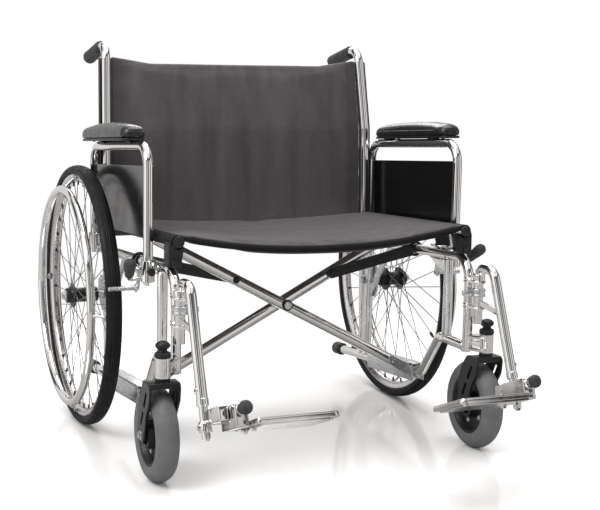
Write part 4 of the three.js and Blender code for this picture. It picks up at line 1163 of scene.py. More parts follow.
def arm_board():
    """The board under the pad, and the two saddles that hold it on the tube."""
    shape = Shape()
    tilt = math.atan((ARM_TOP[1] - ARM_TOP[0]) / (ARM_BACK - ARM_FRONT))
    length = PAD_BACK - PAD_FRONT
    seat = Matrix.Translation((PAD_X, PAD_FRONT, arm_z(PAD_FRONT) + ARM_R + 0.0008)) @ Matrix.Rotation(tilt, 4, "X")
    half = PAD_HALF - 0.003
    outline = [(-half, 0.003), (half, 0.003), (half, length - 0.003), (-half, length - 0.003)]
    shape.add(floor_plate(outline, 0.0030, 0.0058, 0.016).moved(seat))
    for y in (0.070, length - 0.070):
        low = (ARM_X - PAD_X - 0.0105, y - 0.011, -0.0030)
        shape.add(block(low, (ARM_X - PAD_X + 0.0105, y + 0.011, 0.0008), 0.0012).moved(seat))
        shape.add(dome(seat @ Vector((0.012, y, 0.0004)), Vector((0, 0, -1)), 0.0042, 0.0022))
    return shape


def evenly(points, count):
    """The same closed outline with count points at equal steps."""
    closed = points + [points[0]]
    lengths = [(closed[k + 1] - closed[k]).length for k in range(len(points))]
    whole, made, k, passed = sum(lengths), [], 0, 0.0
    for step in range(count):
        goal = whole * step / count
        while passed + lengths[k] < goal:
            passed += lengths[k]
            k += 1
        made.append(closed[k].lerp(closed[k + 1], (goal - passed) / lengths[k]))
    return made


PAD_SEAM = 0.0195


def pad_shape(scale_in=0.0):
    """A rounded block for the pad: upright sides up to its seam, then a crowned top, all in even rings."""
    length = PAD_BACK - PAD_FRONT - 2 * scale_in
    half = PAD_HALF - scale_in
    count = 128
    levels = [(0.0045, 0.016), (0.0045, 0.008), (0.0050, 0.0018), (0.0075, -0.0004), (0.0120, -0.0010),
              (0.0160, -0.0006), (PAD_SEAM, 0.0006)]
    levels += [(PAD_SEAM + 0.0175 * math.sin(angle) ** 0.9, 0.0006 + (half - 0.0030) * (1 - math.cos(angle)))
               for angle in [math.radians(90 * k / 10) for k in range(1, 11)]]
    shape = Shape()
    for z, inset in levels:
        corners = [(inset - half, inset + scale_in), (half - inset, inset + scale_in),
                   (half - inset, scale_in + length - inset), (inset - half, scale_in + length - inset)]
        ring = soft(corners, min(0.021, 0.96 * (half - inset)), 10)
        for point in evenly([Vector((p.x, p.y, z)) for p in ring], count):
            end = abs(2 * (point.y - scale_in) / length - 1)
            rise = max(0.0, z - PAD_SEAM)
            point.z += rise * (0.22 - 0.55 * end ** 2.4)
            shape.points.append(point)
    for level in range(len(levels) - 1):
        for k in range(count):
            after = (k + 1) % count
            shape.faces.append((level * count + k, level * count + after, (level + 1) * count + after,
                                (level + 1) * count + k))
    shape.faces.append(tuple(reversed(range(count))))
    shape.faces.append(tuple((len(levels) - 1) * count + k for k in range(count)))
    return shape


def swell(piece, voxel, pressure, cap, frames=20, pinned=None, slack=0.0):
    """Blows a closed piece up as cloth, remeshed first if a voxel size is given, and keeps each point within
    cap of where it began."""
    scene = bpy.context.scene
    bpy.context.view_layer.objects.active = piece
    if voxel:
        remesh = piece.modifiers.new("remesh", "REMESH")
        remesh.mode = "VOXEL"
        remesh.voxel_size = voxel
        settle(piece)
    start = [vertex.co.copy() for vertex in piece.data.vertices]
    cloth = piece.modifiers.new("cloth", "CLOTH")
    settings = cloth.settings
    settings.quality = 5
    settings.mass = 0.25
    settings.tension_stiffness = settings.compression_stiffness = 12
    settings.shear_stiffness = 6
    settings.bending_stiffness = 0.4
    settings.use_pressure = True
    settings.uniform_pressure_force = pressure
    settings.shrink_min = -slack
    settings.effector_weights.gravity = 0
    if pinned:
        group = piece.vertex_groups.new(name="pinned")
        group.add([i for i, place in enumerate(start) if pinned(place)], 1.0, "REPLACE")
        settings.vertex_group_mass = group.name
    cloth.point_cache.frame_start, cloth.point_cache.frame_end = 1, frames
    for number in range(1, frames + 1):
        scene.frame_set(number)
    depsgraph = bpy.context.evaluated_depsgraph_get()
    blown = [vertex.co.copy() for vertex in piece.evaluated_get(depsgraph).data.vertices]
    piece.modifiers.remove(cloth)
    for vertex, first, last in zip(piece.data.vertices, start, blown):
        shift = last - first
        vertex.co = first + (shift if shift.length <= cap else shift * (cap / shift.length))
    piece.vertex_groups.clear()
    scene.frame_set(1)
    return start


def settle(piece):
    """Applies the piece's modifiers to its mesh."""
    depsgraph = bpy.context.evaluated_depsgraph_get()
    mesh = bpy.data.meshes.new_from_object(piece.evaluated_get(depsgraph), depsgraph=depsgraph)
    piece.modifiers.clear()
    mesh.name = piece.data.name
    piece.data = mesh
    for polygon in mesh.polygons:
        polygon.use_smooth = True


def smoothed(piece, rounds=1, levels=1):
    relax = piece.modifiers.new("relax", "SMOOTH")
    relax.iterations = rounds
    if levels:
        piece.modifiers.new("finer", "SUBSURF").levels = levels
    settle(piece)


def surface_of(piece):
    mesh = piece.data
    return BVHTree.FromPolygons([v.co for v in mesh.vertices], [p.vertices[:] for p in mesh.polygons])


def as_shape(piece):
    return Shape([v.co for v in piece.data.vertices], [tuple(p.vertices) for p in piece.data.polygons])


def build_arm_pads():
    """One pad is blown up and used on both sides, with piping pressed along its seam."""
    pad = make("pad_form", "vinyl", pad_shape(0.001), sharp=180)
    swell(pad, None, 3.0, 0.0012)
    smoothed(pad, 4, 1)
    whole = as_shape(pad)
    tree = surface_of(pad)
    length = PAD_BACK - PAD_FRONT
    ring = soft([(-0.045, -0.02), (0.045, -0.02), (0.045, length + 0.02), (-0.045, length + 0.02)], 0.03, 14)
    piping = []
    count = len(ring)
    for k, corner in enumerate(ring):
        for share in (0.0, 0.25, 0.5, 0.75):
            place = corner.lerp(ring[(k + 1) % count], share)
            place.z = PAD_SEAM - 0.001
            target = Vector((0, min(max(place.y, 0.03), length - 0.03), place.z))
            found = tree.ray_cast(place, (target - place).normalized())[0]
            if found is not None and (not piping or (found - piping[-1]).length > 0.002):
                piping.append(found)
    bpy.data.objects.remove(pad)
    tilt = math.atan((ARM_TOP[1] - ARM_TOP[0]) / (ARM_BACK - ARM_FRONT))
    seat = Matrix.Translation((PAD_X, PAD_FRONT, arm_z(PAD_FRONT) + ARM_R + 0.0008)) @ Matrix.Rotation(tilt, 4, "X")
    both("pad", "arm", "vinyl", whole.moved(seat), nodes=["arm_pad"], sharp=180)
    both("pad_piping", "arm", "vinyl", tube(piping, 0.0012, 8, closed=True).moved(seat))


def arm_lock():
    pin = Vector((ARM_X, ARM_FRONT - 0.0145, 0.424))
    way = Vector((0, -1, 0))
    return turned(pin + Vector((0, 0.0008, 0)) + way * 0.0014, pin + way, [
        (-0.004, 0), (-0.004, 0.003), (0, 0.003), (0, 0.0072), (0.001, 0.0080), (0.006, 0.0080), (0.007, 0.0066),
        (0.009, 0.0066), (0.010, 0.0080), (0.0145, 0.0080), (0.0152, 0.0068), (0.0152, 0)], 28)


def build_arms():
    both("arm_tube", "arm", "chrome", arm_tube(), nodes=["arm_frame"])
    both("panel", "arm", "panel", arm_panel(), nodes=["arm_panel"])
    both("panel_trim", "arm", "plastic", panel_trim())
    both("pad_board", "arm", "plastic", arm_board())
    both("lock_knob", "arm_lock", "plastic", arm_lock(), nodes=["arm_lock"])
    build_arm_pads()


# ---- front rigging ----

HANGER_TOP, ELBOW_Y = 0.424, AXLE.y - 0.610
HANGER_END = at(0.345, -0.700, 0.208)
FOOT_TUBE_R = 0.0088
FLIP_FRONT = Vector((FLIP.x, FLIP.y - 0.122, FLIP.z + 0.049))


def hanger_along():
    return (HANGER_END - Vector((PIVOT.x, ELBOW_Y, HANGER_TOP))).normalized()


def hanger_tube():
    corners = [Vector((PIVOT.x, PIVOT.y, 0.298)), Vector((PIVOT.x, PIVOT.y, HANGER_TOP)),
               Vector((PIVOT.x, ELBOW_Y, HANGER_TOP)), HANGER_END]
    body = tube(rounded(corners, 0.028, 12), TUBE_R)
    collar = turned(Vector((PIVOT.x, PIVOT.y, 0.3945)), Vector((PIVOT.x, PIVOT.y, 1)), [
        (0, TUBE_R), (0, 0.0132), (0.001, 0.0140), (0.0125, 0.0140), (0.0135, 0.0130), (0.0135, TUBE_R)], 32)
    along = hanger_along()
    lip = turned(HANGER_END - along * 0.014, HANGER_END + along, [
        (0, TUBE_R), (0.001, 0.0122), (0.0135, 0.0122), (0.0145, 0.0112), (0.0145, 0.0092)], 32)
    brace = side_plate([(PIVOT.y - 0.006, 0.352), (PIVOT.y - 0.006, 0.340), (ELBOW_Y - 0.026, 0.332),
                        (ELBOW_Y - 0.024, 0.346)], PIVOT.x, 0.0075, 0.003)
    button = bolt(HANGER_END - along * 0.030 + Vector((TUBE_R, 0, 0)), Vector((1, 0, 0)), 0.0045, 0.003, 0.001)
    return body.add(collar, lip, brace, button)


def hanger_latch():
    start = Vector((PIVOT.x, PIVOT.y, 0.358))
    collar = turned(start, start + Vector((0, 0, 1)), [(0, TUBE_R + 0.0006), (0, 0.0150), (0.001, 0.0160),
                                                     (0.0050, 0.0160), (0.0060, 0.0150), (0.0120, 0.0150),
                                                     (0.0130, 0.0160), (0.0170, 0.0160), (0.0180, 0.0150),
                                                     (0.0180, TUBE_R + 0.0006)], 32)
    lever = plate([soft([(-0.040, -0.0055), (-0.012, -0.0048), (-0.012, 0.0048), (-0.040, 0.0055)], 0.005)],
                  0.011, 0.0018).moved(Matrix.Translation((PIVOT.x, PIVOT.y, 0.367)))
    return collar.add(lever)


def foot_tube():
    along = hanger_along()
    bottom = HANGER_END + along * 0.062
    shape = rod(HANGER_END - along * 0.020, bottom, FOOT_TUBE_R)
    flip = (FLIP_FRONT - FLIP).normalized()
    stub = FLIP.lerp(FLIP_FRONT, 0.16)
    x = (FLIP.x + HANGER_END.x) / 2
    web = side_plate([(stub.y, FLIP.z - 0.010), (FLIP.y + 0.008, FLIP.z - 0.014), (FLIP.y + 0.010, FLIP.z + 0.010),
                      (stub.y, FLIP.z + 0.018)], x - 0.004, HANGER_END.x - FLIP.x + 0.002, 0.003)
    pin = rod(stub - flip * 0.004, FLIP_FRONT, 0.0079)
    tilt = math.atan2(flip.z, -flip.y)
    stand = Matrix.Translation(FLIP) @ Matrix.Rotation(-tilt, 4, "X")
    casting = block((0.0148, -0.088, -0.0150), (HANGER_END.x - FLIP.x - 0.001, -0.002, 0.0140), 0.0030, 3)
    shape.add(web, casting.moved(stand), pin, bolt(bottom + along * 0.001, along, 0.0062, 0.0055, 0.003))
    clamp = turned(HANGER_END + along * 0.030, bottom, [(0, FOOT_TUBE_R), (0, 0.0118), (0.001, 0.0125),
                                                       (0.021, 0.0125), (0.022, 0.0118), (0.022, FOOT_TUBE_R)], 32)
    return shape.add(clamp, bolt(HANGER_END + along * 0.041 + Vector((0.0122, 0, 0)), Vector((1, 0, 0)), 0.0055, 0.004))


PLATE_IN, PLATE_OUT, PLATE_LENGTH, PLATE_DEEP = 0.128, 0.296, 0.132, 0.0088
PLATE_HEEL = at(0, -0.742, 0.173)


def plate_outline(inset=0.0):
    """The plate seen from above: its inner end rounded at the heel and more at the toe."""
    corners = ((PLATE_OUT - inset, -inset, 0.004), (PLATE_OUT - inset, inset - PLATE_LENGTH, 0.014),
               (PLATE_IN + inset, inset - PLATE_LENGTH, 0.034), (PLATE_IN + inset, -inset, 0.026))
    places = [Vector((x, y, 0)) for x, y, _ in corners]
    points = []
    for k, (x, y, radius) in enumerate(corners):
        into = (places[k] - places[k - 1]).normalized()
        out = (places[(k + 1) % 4] - places[k]).normalized()
        size = max(0.002, radius - inset)
        start = places[k] - into * size
        points += rounded([start, places[k], places[k] + out * size], size, 8)[1:-1]
    return points


def footplate():
    """A cast plate that hangs on a web under its hinge, with a raised rim and cross ribs on top."""
    along = (FLIP_FRONT - FLIP).normalized()
    tilt = math.atan2(along.z, -along.y)
    seat = Matrix.Translation((0, PLATE_HEEL.y, PLATE_HEEL.z)) @ Matrix.Rotation(-tilt, 4, "X")

    def laid(shape, z):
        return shape.moved(seat @ Matrix.Translation((0, 0, z)))

    shape = laid(plate([plate_outline()], PLATE_DEEP, 0.0016), -PLATE_DEEP / 2)
    shape.add(laid(plate([plate_outline(0.0008), plate_outline(0.0062)], 0.0030, 0.0008), 0.0006))
    shape.add(laid(plate([plate_outline(0.0100)], 0.0050, 0.0012), -PLATE_DEEP - 0.0012))
    for k in range(7):
        y = -0.026 - k * 0.0135
        rib = [(PLATE_IN + 0.030, y - 0.0014), (PLATE_OUT - 0.020, y - 0.0014), (PLATE_OUT - 0.020, y + 0.0014),
               (PLATE_IN + 0.030, y + 0.0014)]
        shape.add(laid(plate([soft(rib, 0.0013)], 0.0014, 0.0004), 0.0003))
    start, end = FLIP.lerp(FLIP_FRONT, 0.20), FLIP.lerp(FLIP_FRONT, 0.95)
    length = (end - start).length
    shape.add(turned(start, end, [(0, 0.0084), (0, 0.0108), (0.0012, 0.0118), (length - 0.0012, 0.0118),
                                  (length, 0.0108), (length, 0.0084)], 36))
    shape.add(block((PLATE_OUT + 0.001, -0.090, -0.0085), (PLATE_OUT + 0.027, -0.003, 0.0365), 0.0030, 3).moved(seat))
    for y in (-0.022, -0.070):
        under = seat @ Vector((PLATE_OUT - 0.012, y, -PLATE_DEEP - 0.0032))
        shape.add(bolt(under, seat.to_3x3() @ Vector((0, 0, -1)), 0.0058, 0.0045, 0.002))
    return shape


def foot_bumper():
    along = (FLIP_FRONT - FLIP).normalized()
    start = FLIP_FRONT + along * 0.0008
    return turned(start, start + along, [(0, 0), (0, 0.0082), (0.001, 0.0092), (0.0040, 0.0092), (0.0050, 0.0110),
                                         (0.0060, 0.0128), (0.0085, 0.0136), (0.0130, 0.0134), (0.0165, 0.0112),
                                         (0.0188, 0.0072), (0.0197, 0.0032), (0.0199, 0)], 40)


def build_front_rigging():
    both("hanger_tube", "hanger", "chrome", hanger_tube(), nodes=["hanger"])
    both("latch", "latch", "satin", hanger_latch(), nodes=["hanger_latch"])
    both("foot_post", "foot", "chrome", foot_tube(), nodes=["foot_tube"])
    both("plate", "plate", "cast", footplate(), nodes=["footplate"])
    both("bumper", "foot", "rubber", foot_bumper(), nodes=["foot_bumper"])


# ---- wheel locks ----


def brake_bracket():
    y = AXLE.y - 0.348
    plate_x = BRAKE.x - 0.005
    z = upper_z(y)
    clamp = []
    for low, high in ((z + 0.0118, z + 0.0165), (z - 0.0165, z - 0.0118)):
        clamp.append(block((FRAME_X + 0.001, y - 0.023, low), (plate_x + 0.004, y + 0.023, high), 0.001))
    back = block((plate_x, y - 0.023, z - 0.0165), (plate_x + 0.005, y + 0.023, z + 0.0165), 0.001)
    corners = [(AXLE.y - 0.379, 0.387), (AXLE.y - 0.350, 0.386), (AXLE.y - 0.312, 0.402), (AXLE.y - 0.312, 0.424),
               (AXLE.y - 0.379, 0.424)]
    face = side_plate(corners, plate_x + 0.0025, 0.005, 0.006)
    shape = back.add(face, *clamp)
    for place in (BRAKE, SHOE):
        shape.add(rod(place, place + Vector((0.0105, 0, 0)), 0.0039, 16))
        shape.add(bolt(place + Vector((0.0096, 0, 0)), Vector((1, 0, 0)), 0.0055, 0.0035, 0.0004))
    for side in (-0.014, 0.014):
        shape.add(bolt(Vector((plate_x - 0.008, y + side, z - 0.0165)), Vector((0, 0, -1)), 0.0045, 0.004, 0.001))
    return shape


def brake_path():
    elbow = Vector((0.400, BRAKE.y - 0.014, BRAKE.z - 0.002))
    tip = Vector((0.414, BRAKE.y - 0.070, BRAKE.z + 0.040))
    return [Vector((BRAKE.x + 0.0039, BRAKE.y - 0.008, BRAKE.z)), elbow, tip]


def brake_lever():
    x = BRAKE.x + 0.0004
    boss = turned(Vector((x, BRAKE.y, BRAKE.z)), Vector((1, BRAKE.y, BRAKE.z)),
                  [(0, 0.0042), (0, 0.0108), (0.0062, 0.0108), (0.0070, 0.0100), (0.0070, 0.0042)], 32)
    return boss.add(tube(rounded(brake_path(), 0.012, 10), 0.0040, 18))


def brake_grip():
    _, elbow, tip = brake_path()
    along = (tip - elbow).normalized()

    def knob(length):
        return [(0, 0.0075), (0.0015, 0.0095), (0.010, 0.0105), (0.020, 0.0112), (0.036, 0.0126), (0.046, 0.0130),
                (length - 0.006, 0.0118), (length - 0.0015, 0.0080), (length, 0.0040)]

    return sleeve(tip - along * 0.048, tip + along * 0.010, 0.004, knob)


def brake_shoe():
    x = SHOE.x + 0.0004
    foot_y, foot_z = SHOE.y + 0.015, SHOE.z - 0.042
    corners = [(SHOE.y - 0.009, SHOE.z + 0.009), (SHOE.y + 0.009, SHOE.z + 0.009), (foot_y + 0.006, foot_z - 0.004),
               (foot_y - 0.006, foot_z - 0.004)]
    arm = side_plate(corners, x + 0.0025, 0.005, 0.004)
    bar = rod(Vector((x, foot_y, foot_z)), Vector((0.428, foot_y, foot_z)), 0.0050, 20, 0.0014)
    return arm.add(bar, bolt(Vector((x + 0.006, foot_y, foot_z)), Vector((1, 0, 0)), 0.0072, 0.004, 0.001))


def build_brakes():
    both("brake_mount", "side", "chrome", brake_bracket(), nodes=["brake_bracket"])
    both("lever", "brake", "chrome", brake_lever(), nodes=["brake_lever"])
    both("lever_grip", "brake", "rubber", brake_grip(), nodes=["brake_grip"])
    both("shoe", "shoe", "satin", brake_shoe(), nodes=["brake_shoe"])


# ---- slings ----

SEAT_HALF = SEAT_RAIL_X - 0.004
SEAT_TOP = 0.0150
SAG_FRONT, SAG_BACK = 0.034, 0.014
ROLL_R = 0.0074
BACK_LOW, BACK_HIGH = 0.436, 0.862
BACK_HALF = 0.317


def seat_sag(y):
    share = (y - SEAT_FRONT) / (SEAT_BACK - SEAT_FRONT)
    return SAG_FRONT + (SAG_BACK - SAG_FRONT) * share


def seat_surface(x, y, below=0.0):
    """Height of the seat's top at a place, or of its underside when below is 1."""
    share = min(1.0, abs(x) / SEAT_HALF)
    thickness = 0.0045 + 0.0075 * min(1.0, 2.2 * (1 - share))
    return seat_z(y) + SEAT_TOP - seat_sag(y) * (1 - share ** 2.2) - below * thickness


def grid(wide, deep, place):
    """A closed two-skin sheet. place(u, v, skin) gives a point, with u and v from 0 to 1."""
    shape = Shape()
    for skin in (0, 1):
        for j in range(deep + 1):
            for i in range(wide + 1):
                shape.points.append(place(i / wide, j / deep, skin))
    row = wide + 1
    layer = row * (deep + 1)
    for j in range(deep):
        for i in range(wide):
            a = j * row + i
            shape.faces.append((a, a + 1, a + row + 1, a + row))
            shape.faces.append((layer + a, layer + a + row, layer + a + row + 1, layer + a + 1))
    edge = [j * row for j in range(deep + 1)] + [deep * row + i for i in range(1, row)]
    edge += [j * row + wide for j in reversed(range(deep))] + [i for i in reversed(range(1, wide))]
    for k, first in enumerate(edge):
        second = edge[(k + 1) % len(edge)]
        shape.faces.append((first, second, layer + second, layer + first))
    return shape


def seat_form():
    def place(u, v, skin):
        x = (2 * u - 1) * SEAT_HALF
        y = SEAT_FRONT + 0.004 + v * (SEAT_BACK - SEAT_FRONT - 0.005)
        return Vector((x, y, seat_surface(x, y, skin)))
    return grid(104, 80, place)


def seat_roll():
    """The stuffed roll in the seat's front hem."""
    steps = 150
    path, radii = [], []
    for k in range(steps + 1):
        x = (2 * k / steps - 1) * SEAT_HALF
        fade = min(1.0, 7 * (1 - abs(x) / SEAT_HALF) + 0.5)
        radius = ROLL_R * fade * (1 + 0.05 * noise.noise(Vector((x * 30, 2.2, 7.1))))
        path.append(Vector((x, SEAT_FRONT + ROLL_R * 0.9, seat_surface(x, SEAT_FRONT) - ROLL_R * 0.96)))
        radii.append(radius)
    return tube(path, radii, 20)


def seat_creases(place):
    """Soft creases that run across the seat and gather towards its front corners."""
    share = min(1.0, abs(place.x) / SEAT_HALF)
    depth = (place.y - SEAT_FRONT) / (SEAT_BACK - SEAT_FRONT)
    fan = place.y + 0.16 * (1 - share) ** 1.5 * (0.3 - depth)
    broad = noise.noise(Vector((place.x * 2.3, fan * 20, 3.7)))
    fine = noise.noise(Vector((place.x * 5.2, fan * 58, 9.1)))
    gather = math.exp(-((share - 0.82) / 0.2) ** 2)
    edge = 1 - share ** 8
    return edge * (0.0020 * broad + (0.0007 + 0.0016 * gather) * fine)


def stitches(path, normal, length=0.0036, gap=0.0016, radius=0.00045):
    """Short threads laid along a path of points."""
    shape = Shape()
    travelled = 0.0
    for first, second in zip(path, path[1:]):
        travelled += (second - first).length
        if travelled < length + gap:
            continue
        travelled = 0.0
        along = (second - first).normalized()
        middle = second + normal * radius * 0.5
        ends = [middle - along * length / 2, middle, middle + along * length / 2]
        shape.add(tube(ends, [radius * 0.5, radius, radius * 0.5], 6))
    return shape


def seam_over(tree, start, end, way, step=0.0013, reach=0.06):
    """Points on a surface below or behind the line from start to end, looking along way."""
    count = max(2, int((end - start).length / step))
    found = []
    for k in range(count + 1):
        hit = tree.ray_cast(start.lerp(end, k / count) - way * reach, way)[0]
        if hit is not None:
            found.append(hit)
    return found


def wrap(side, x, y_start, y_end, height, radius, start_deg, end_deg, finish="seat"):
    """Cloth that goes round a seat rail, from its top over the outside to below."""
    shape = Shape()
    around_count, along_count = 16, 60
    for j in range(along_count + 1):
        y = y_start + (y_end - y_start) * j / along_count
        for k in range(around_count + 1):
            angle = math.radians(start_deg + (end_deg - start_deg) * k / around_count)
            swell_out = radius + 0.0006 * noise.noise(Vector((y * 60, k * 0.4, side)))
            shape.points.append(Vector((x + side * swell_out * math.cos(angle), y, height(y) + swell_out * math.sin(angle))))
    row = around_count + 1
    for j in range(along_count):
        for k in range(around_count):
            a = j * row + k
            shape.faces.append((a, a + 1, a + row + 1, a + row))
    return shape


def thickened(piece, thickness):
    solid = piece.modifiers.new("thickness", "SOLIDIFY")
    solid.thickness = thickness
    solid.offset = 0
    settle(piece)


def build_seat():
    start = Vector((SEAT_HALF, CROSSING.y, seat_z(CROSSING.y)))
    end = Vector((-SEAT_HALF, CROSSING.y, seat_z(CROSSING.y)))
    seat = make("seat_cloth", "seat", seat_form(), sharp=180)
    swell(seat, None, 1.2, 0.006, pinned=lambda place: abs(place.x) > SEAT_HALF - 0.020, slack=0.006)
    for vertex in seat.data.vertices:
        vertex.co.z += seat_creases(vertex.co)
    smoothed(seat, 2, 1)
    # The roll takes the hem cloth, darkened as painted shade.
    roll = make("seat_roll", "hem", seat_roll(), sharp=180)
    tree = surface_of(seat)
    down = Vector((0, 0, -1))
    seams = Shape()
    for inset in (0.014, 0.019):
        y = SEAT_FRONT + inset
        path = seam_over(tree, Vector((-SEAT_HALF + 0.012, y, 0.5)), Vector((SEAT_HALF - 0.012, y, 0.5)), down)
        seams.add(stitches(path, Vector((0, 0, 1))))
    for sign in SIDES.values():
        x = sign * (SEAT_HALF - 0.016)
        path = seam_over(tree, Vector((x, SEAT_FRONT + 0.01, 0.5)), Vector((x, SEAT_BACK - 0.01, 0.5)), down)
        seams.add(stitches(path, Vector((0, 0, 1))))
    thread_piece = make("seat_stitching", "thread", seams)
    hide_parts("seat_sling")
    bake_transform(seat)
    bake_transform(roll)
    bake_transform(thread_piece)
    for sign, body, side in ((1, "brace_a", "left"), (-1, "brace_b", "right")):
        shape = wrap(sign, sign * SEAT_RAIL_X, SEAT_FRONT + 0.003, SEAT_BACK - 0.002, seat_z, TUBE_R + 0.0022, 128, -35)
        # The sleeve takes the hem cloth, darkened as painted shade.
        sleeve_piece = make(f"seat_sleeve_{side}", "hem", shape, sharp=180)
        thickened(sleeve_piece, 0.0020)
        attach(sleeve_piece, body)


def cane_y(z):
    """Depth of the canes' middle line at a height."""
    points = [at(*corner) for corner in CANE[:3]]
    for low, high in zip(points, points[1:]):
        if z <= high.z:
            return low.y + (high.y - low.y) * (z - low.z) / (high.z - low.z)
    return points[-1].y


def back_form():
    def place(u, v, skin):
        across = 2 * u - 1
        share = 1 - across ** 2
        top = BACK_HIGH - 0.012 * min(1.0, 3.2 * (1 - abs(across))) - 0.002 * share
        z = BACK_LOW + v * (top - BACK_LOW)
        x = across * (cane_x(z) - TUBE_R - 0.0017)
        thickness = 0.0050 + 0.0035 * share
        y = cane_y(z) + 0.0035 + 0.004 * share
        return Vector((x, y + (thickness / 2 if skin else -thickness / 2), z))
    return grid(100, 66, place)


def back_creases(place):
    """Upright folds that are deeper towards the canes."""
    share = abs(place.x) / BACK_HALF
    fold = noise.noise(Vector((place.x * 20, place.z * 2.2, 5.5)))
    pucker = noise.noise(Vector((place.x * 12, place.z * 42, 8.8))) * max(0.0, share - 0.86) * 6
    return 0.0007 * fold * (0.5 + share) + 0.0022 * pucker


def cane_sleeve(sign):
    """Cloth round the back and outside of a cane, where the back sling is fixed to it."""
    shape = Shape()
    rows, steps = 40, 16
    for j in range(rows + 1):
        z = BACK_LOW + 0.002 + (BACK_HIGH - 0.006 - BACK_LOW) * j / rows
        y = cane_y(z)
        x = cane_x(z)
        for k in range(steps + 1):
            angle = math.radians(170 - 172 * k / steps)
            tail = 0.0042 * math.exp(-((math.degrees(angle) - 22) / 24) ** 2)
            reach = TUBE_R + 0.0020 + tail + 0.0005 * noise.noise(Vector((z * 50, k * 0.5, sign)))
            shape.points.append(Vector((sign * (x + reach * math.cos(angle)), y + reach * math.sin(angle), z)))
    row = steps + 1
    for j in range(rows):
        for k in range(steps):
            a = j * row + k
            shape.faces.append((a, a + 1, a + row + 1, a + row))
    return shape


def cane_x(z):
    points = [at(*corner) for corner in CANE[:3]]
    for low, high in zip(points, points[1:]):
        if z <= high.z:
            return low.x + (high.x - low.x) * (z - low.z) / (high.z - low.z)
    return points[-1].x


def build_back():
    back = make("back_cloth", "back", back_form(), sharp=180)
    swell(back, None, 0.5, 0.004, pinned=lambda place: abs(place.x) > BACK_HALF - 0.017, slack=0.003)
    for vertex in back.data.vertices:
        vertex.co.y += back_creases(vertex.co)
    smoothed(back, 2, 1)
    tree = surface_of(back)
    rearward = Vector((0, 1, 0))
    seams = Shape()
    for drop in (0.012, 0.017):
        z = BACK_HIGH - drop - 0.009
        path = seam_over(tree, at(-0.30, 0, z), at(0.30, 0, z), rearward, reach=0.2)
        seams.add(stitches(path, Vector((0, -1, 0))))
    for sign in SIDES.values():
        path = seam_over(tree, at(sign * 0.296, 0, BACK_LOW + 0.01), at(sign * 0.296, 0, BACK_HIGH - 0.02), rearward, reach=0.2)
        seams.add(stitches(path, Vector((0, -1, 0))))
    thread_piece = make("back_stitching", "thread", seams)
    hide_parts("back_sling")
    for piece in (back, thread_piece):
        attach(piece, "side_right")
        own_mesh(piece)
    for side, sign in SIDES.items():
        sleeve_piece = make(f"cane_sleeve_{side}", "back", cane_sleeve(sign), sharp=180)
        thickened(sleeve_piece, 0.0018)
        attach(sleeve_piece, f"side_{side}")
        screws = Shape()
        for k in range(5):
            z = BACK_LOW + 0.03 + k * (BACK_HIGH - BACK_LOW - 0.06) / 4
            way = Vector((sign * 0.25, 1, 0)).normalized()
            place = Vector((sign * cane_x(z), cane_y(z), z)) + way * (TUBE_R + 0.0030)
            screws.add(dome(place, way, 0.0048, 0.0024))
        screw_piece = make(f"cane_screws_{side}", "satin", screws)
        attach(screw_piece, f"side_{side}")


# ---- stage ----

VIEW_YAW, VIEW_PITCH, VIEW_ROLL = 23.074, 8.669, 1.169
VIEW_PLACE = Vector((-1.1613, -2.7940, 0.8865))
LENS = 80.77


def build_camera():
    yaw, pitch, roll = (math.radians(a) for a in (VIEW_YAW, VIEW_PITCH, VIEW_ROLL))
    ahead = Vector((math.sin(yaw) * math.cos(pitch), math.cos(yaw) * math.cos(pitch), -math.sin(pitch)))
    level = Vector((math.cos(yaw), -math.sin(yaw), 0))
    above = level.cross(ahead)
    right = level * math.cos(roll) + above * math.sin(roll)
    up = above * math.cos(roll) - level * math.sin(roll)
    camera = bpy.data.objects.new("camera", bpy.data.cameras.new("camera"))
    camera.data.lens = LENS
    camera.matrix_world = Matrix((
        (right.x, up.x, -ahead.x, VIEW_PLACE.x), (right.y, up.y, -ahead.y, VIEW_PLACE.y),
        (right.z, up.z, -ahead.z, VIEW_PLACE.z), (0, 0, 0, 1)))
    bpy.context.scene.collection.objects.link(camera)
    bpy.context.scene.camera = camera


FLOOR_R, FLOOR_FADE = 2.4, (0.95, 1.75)


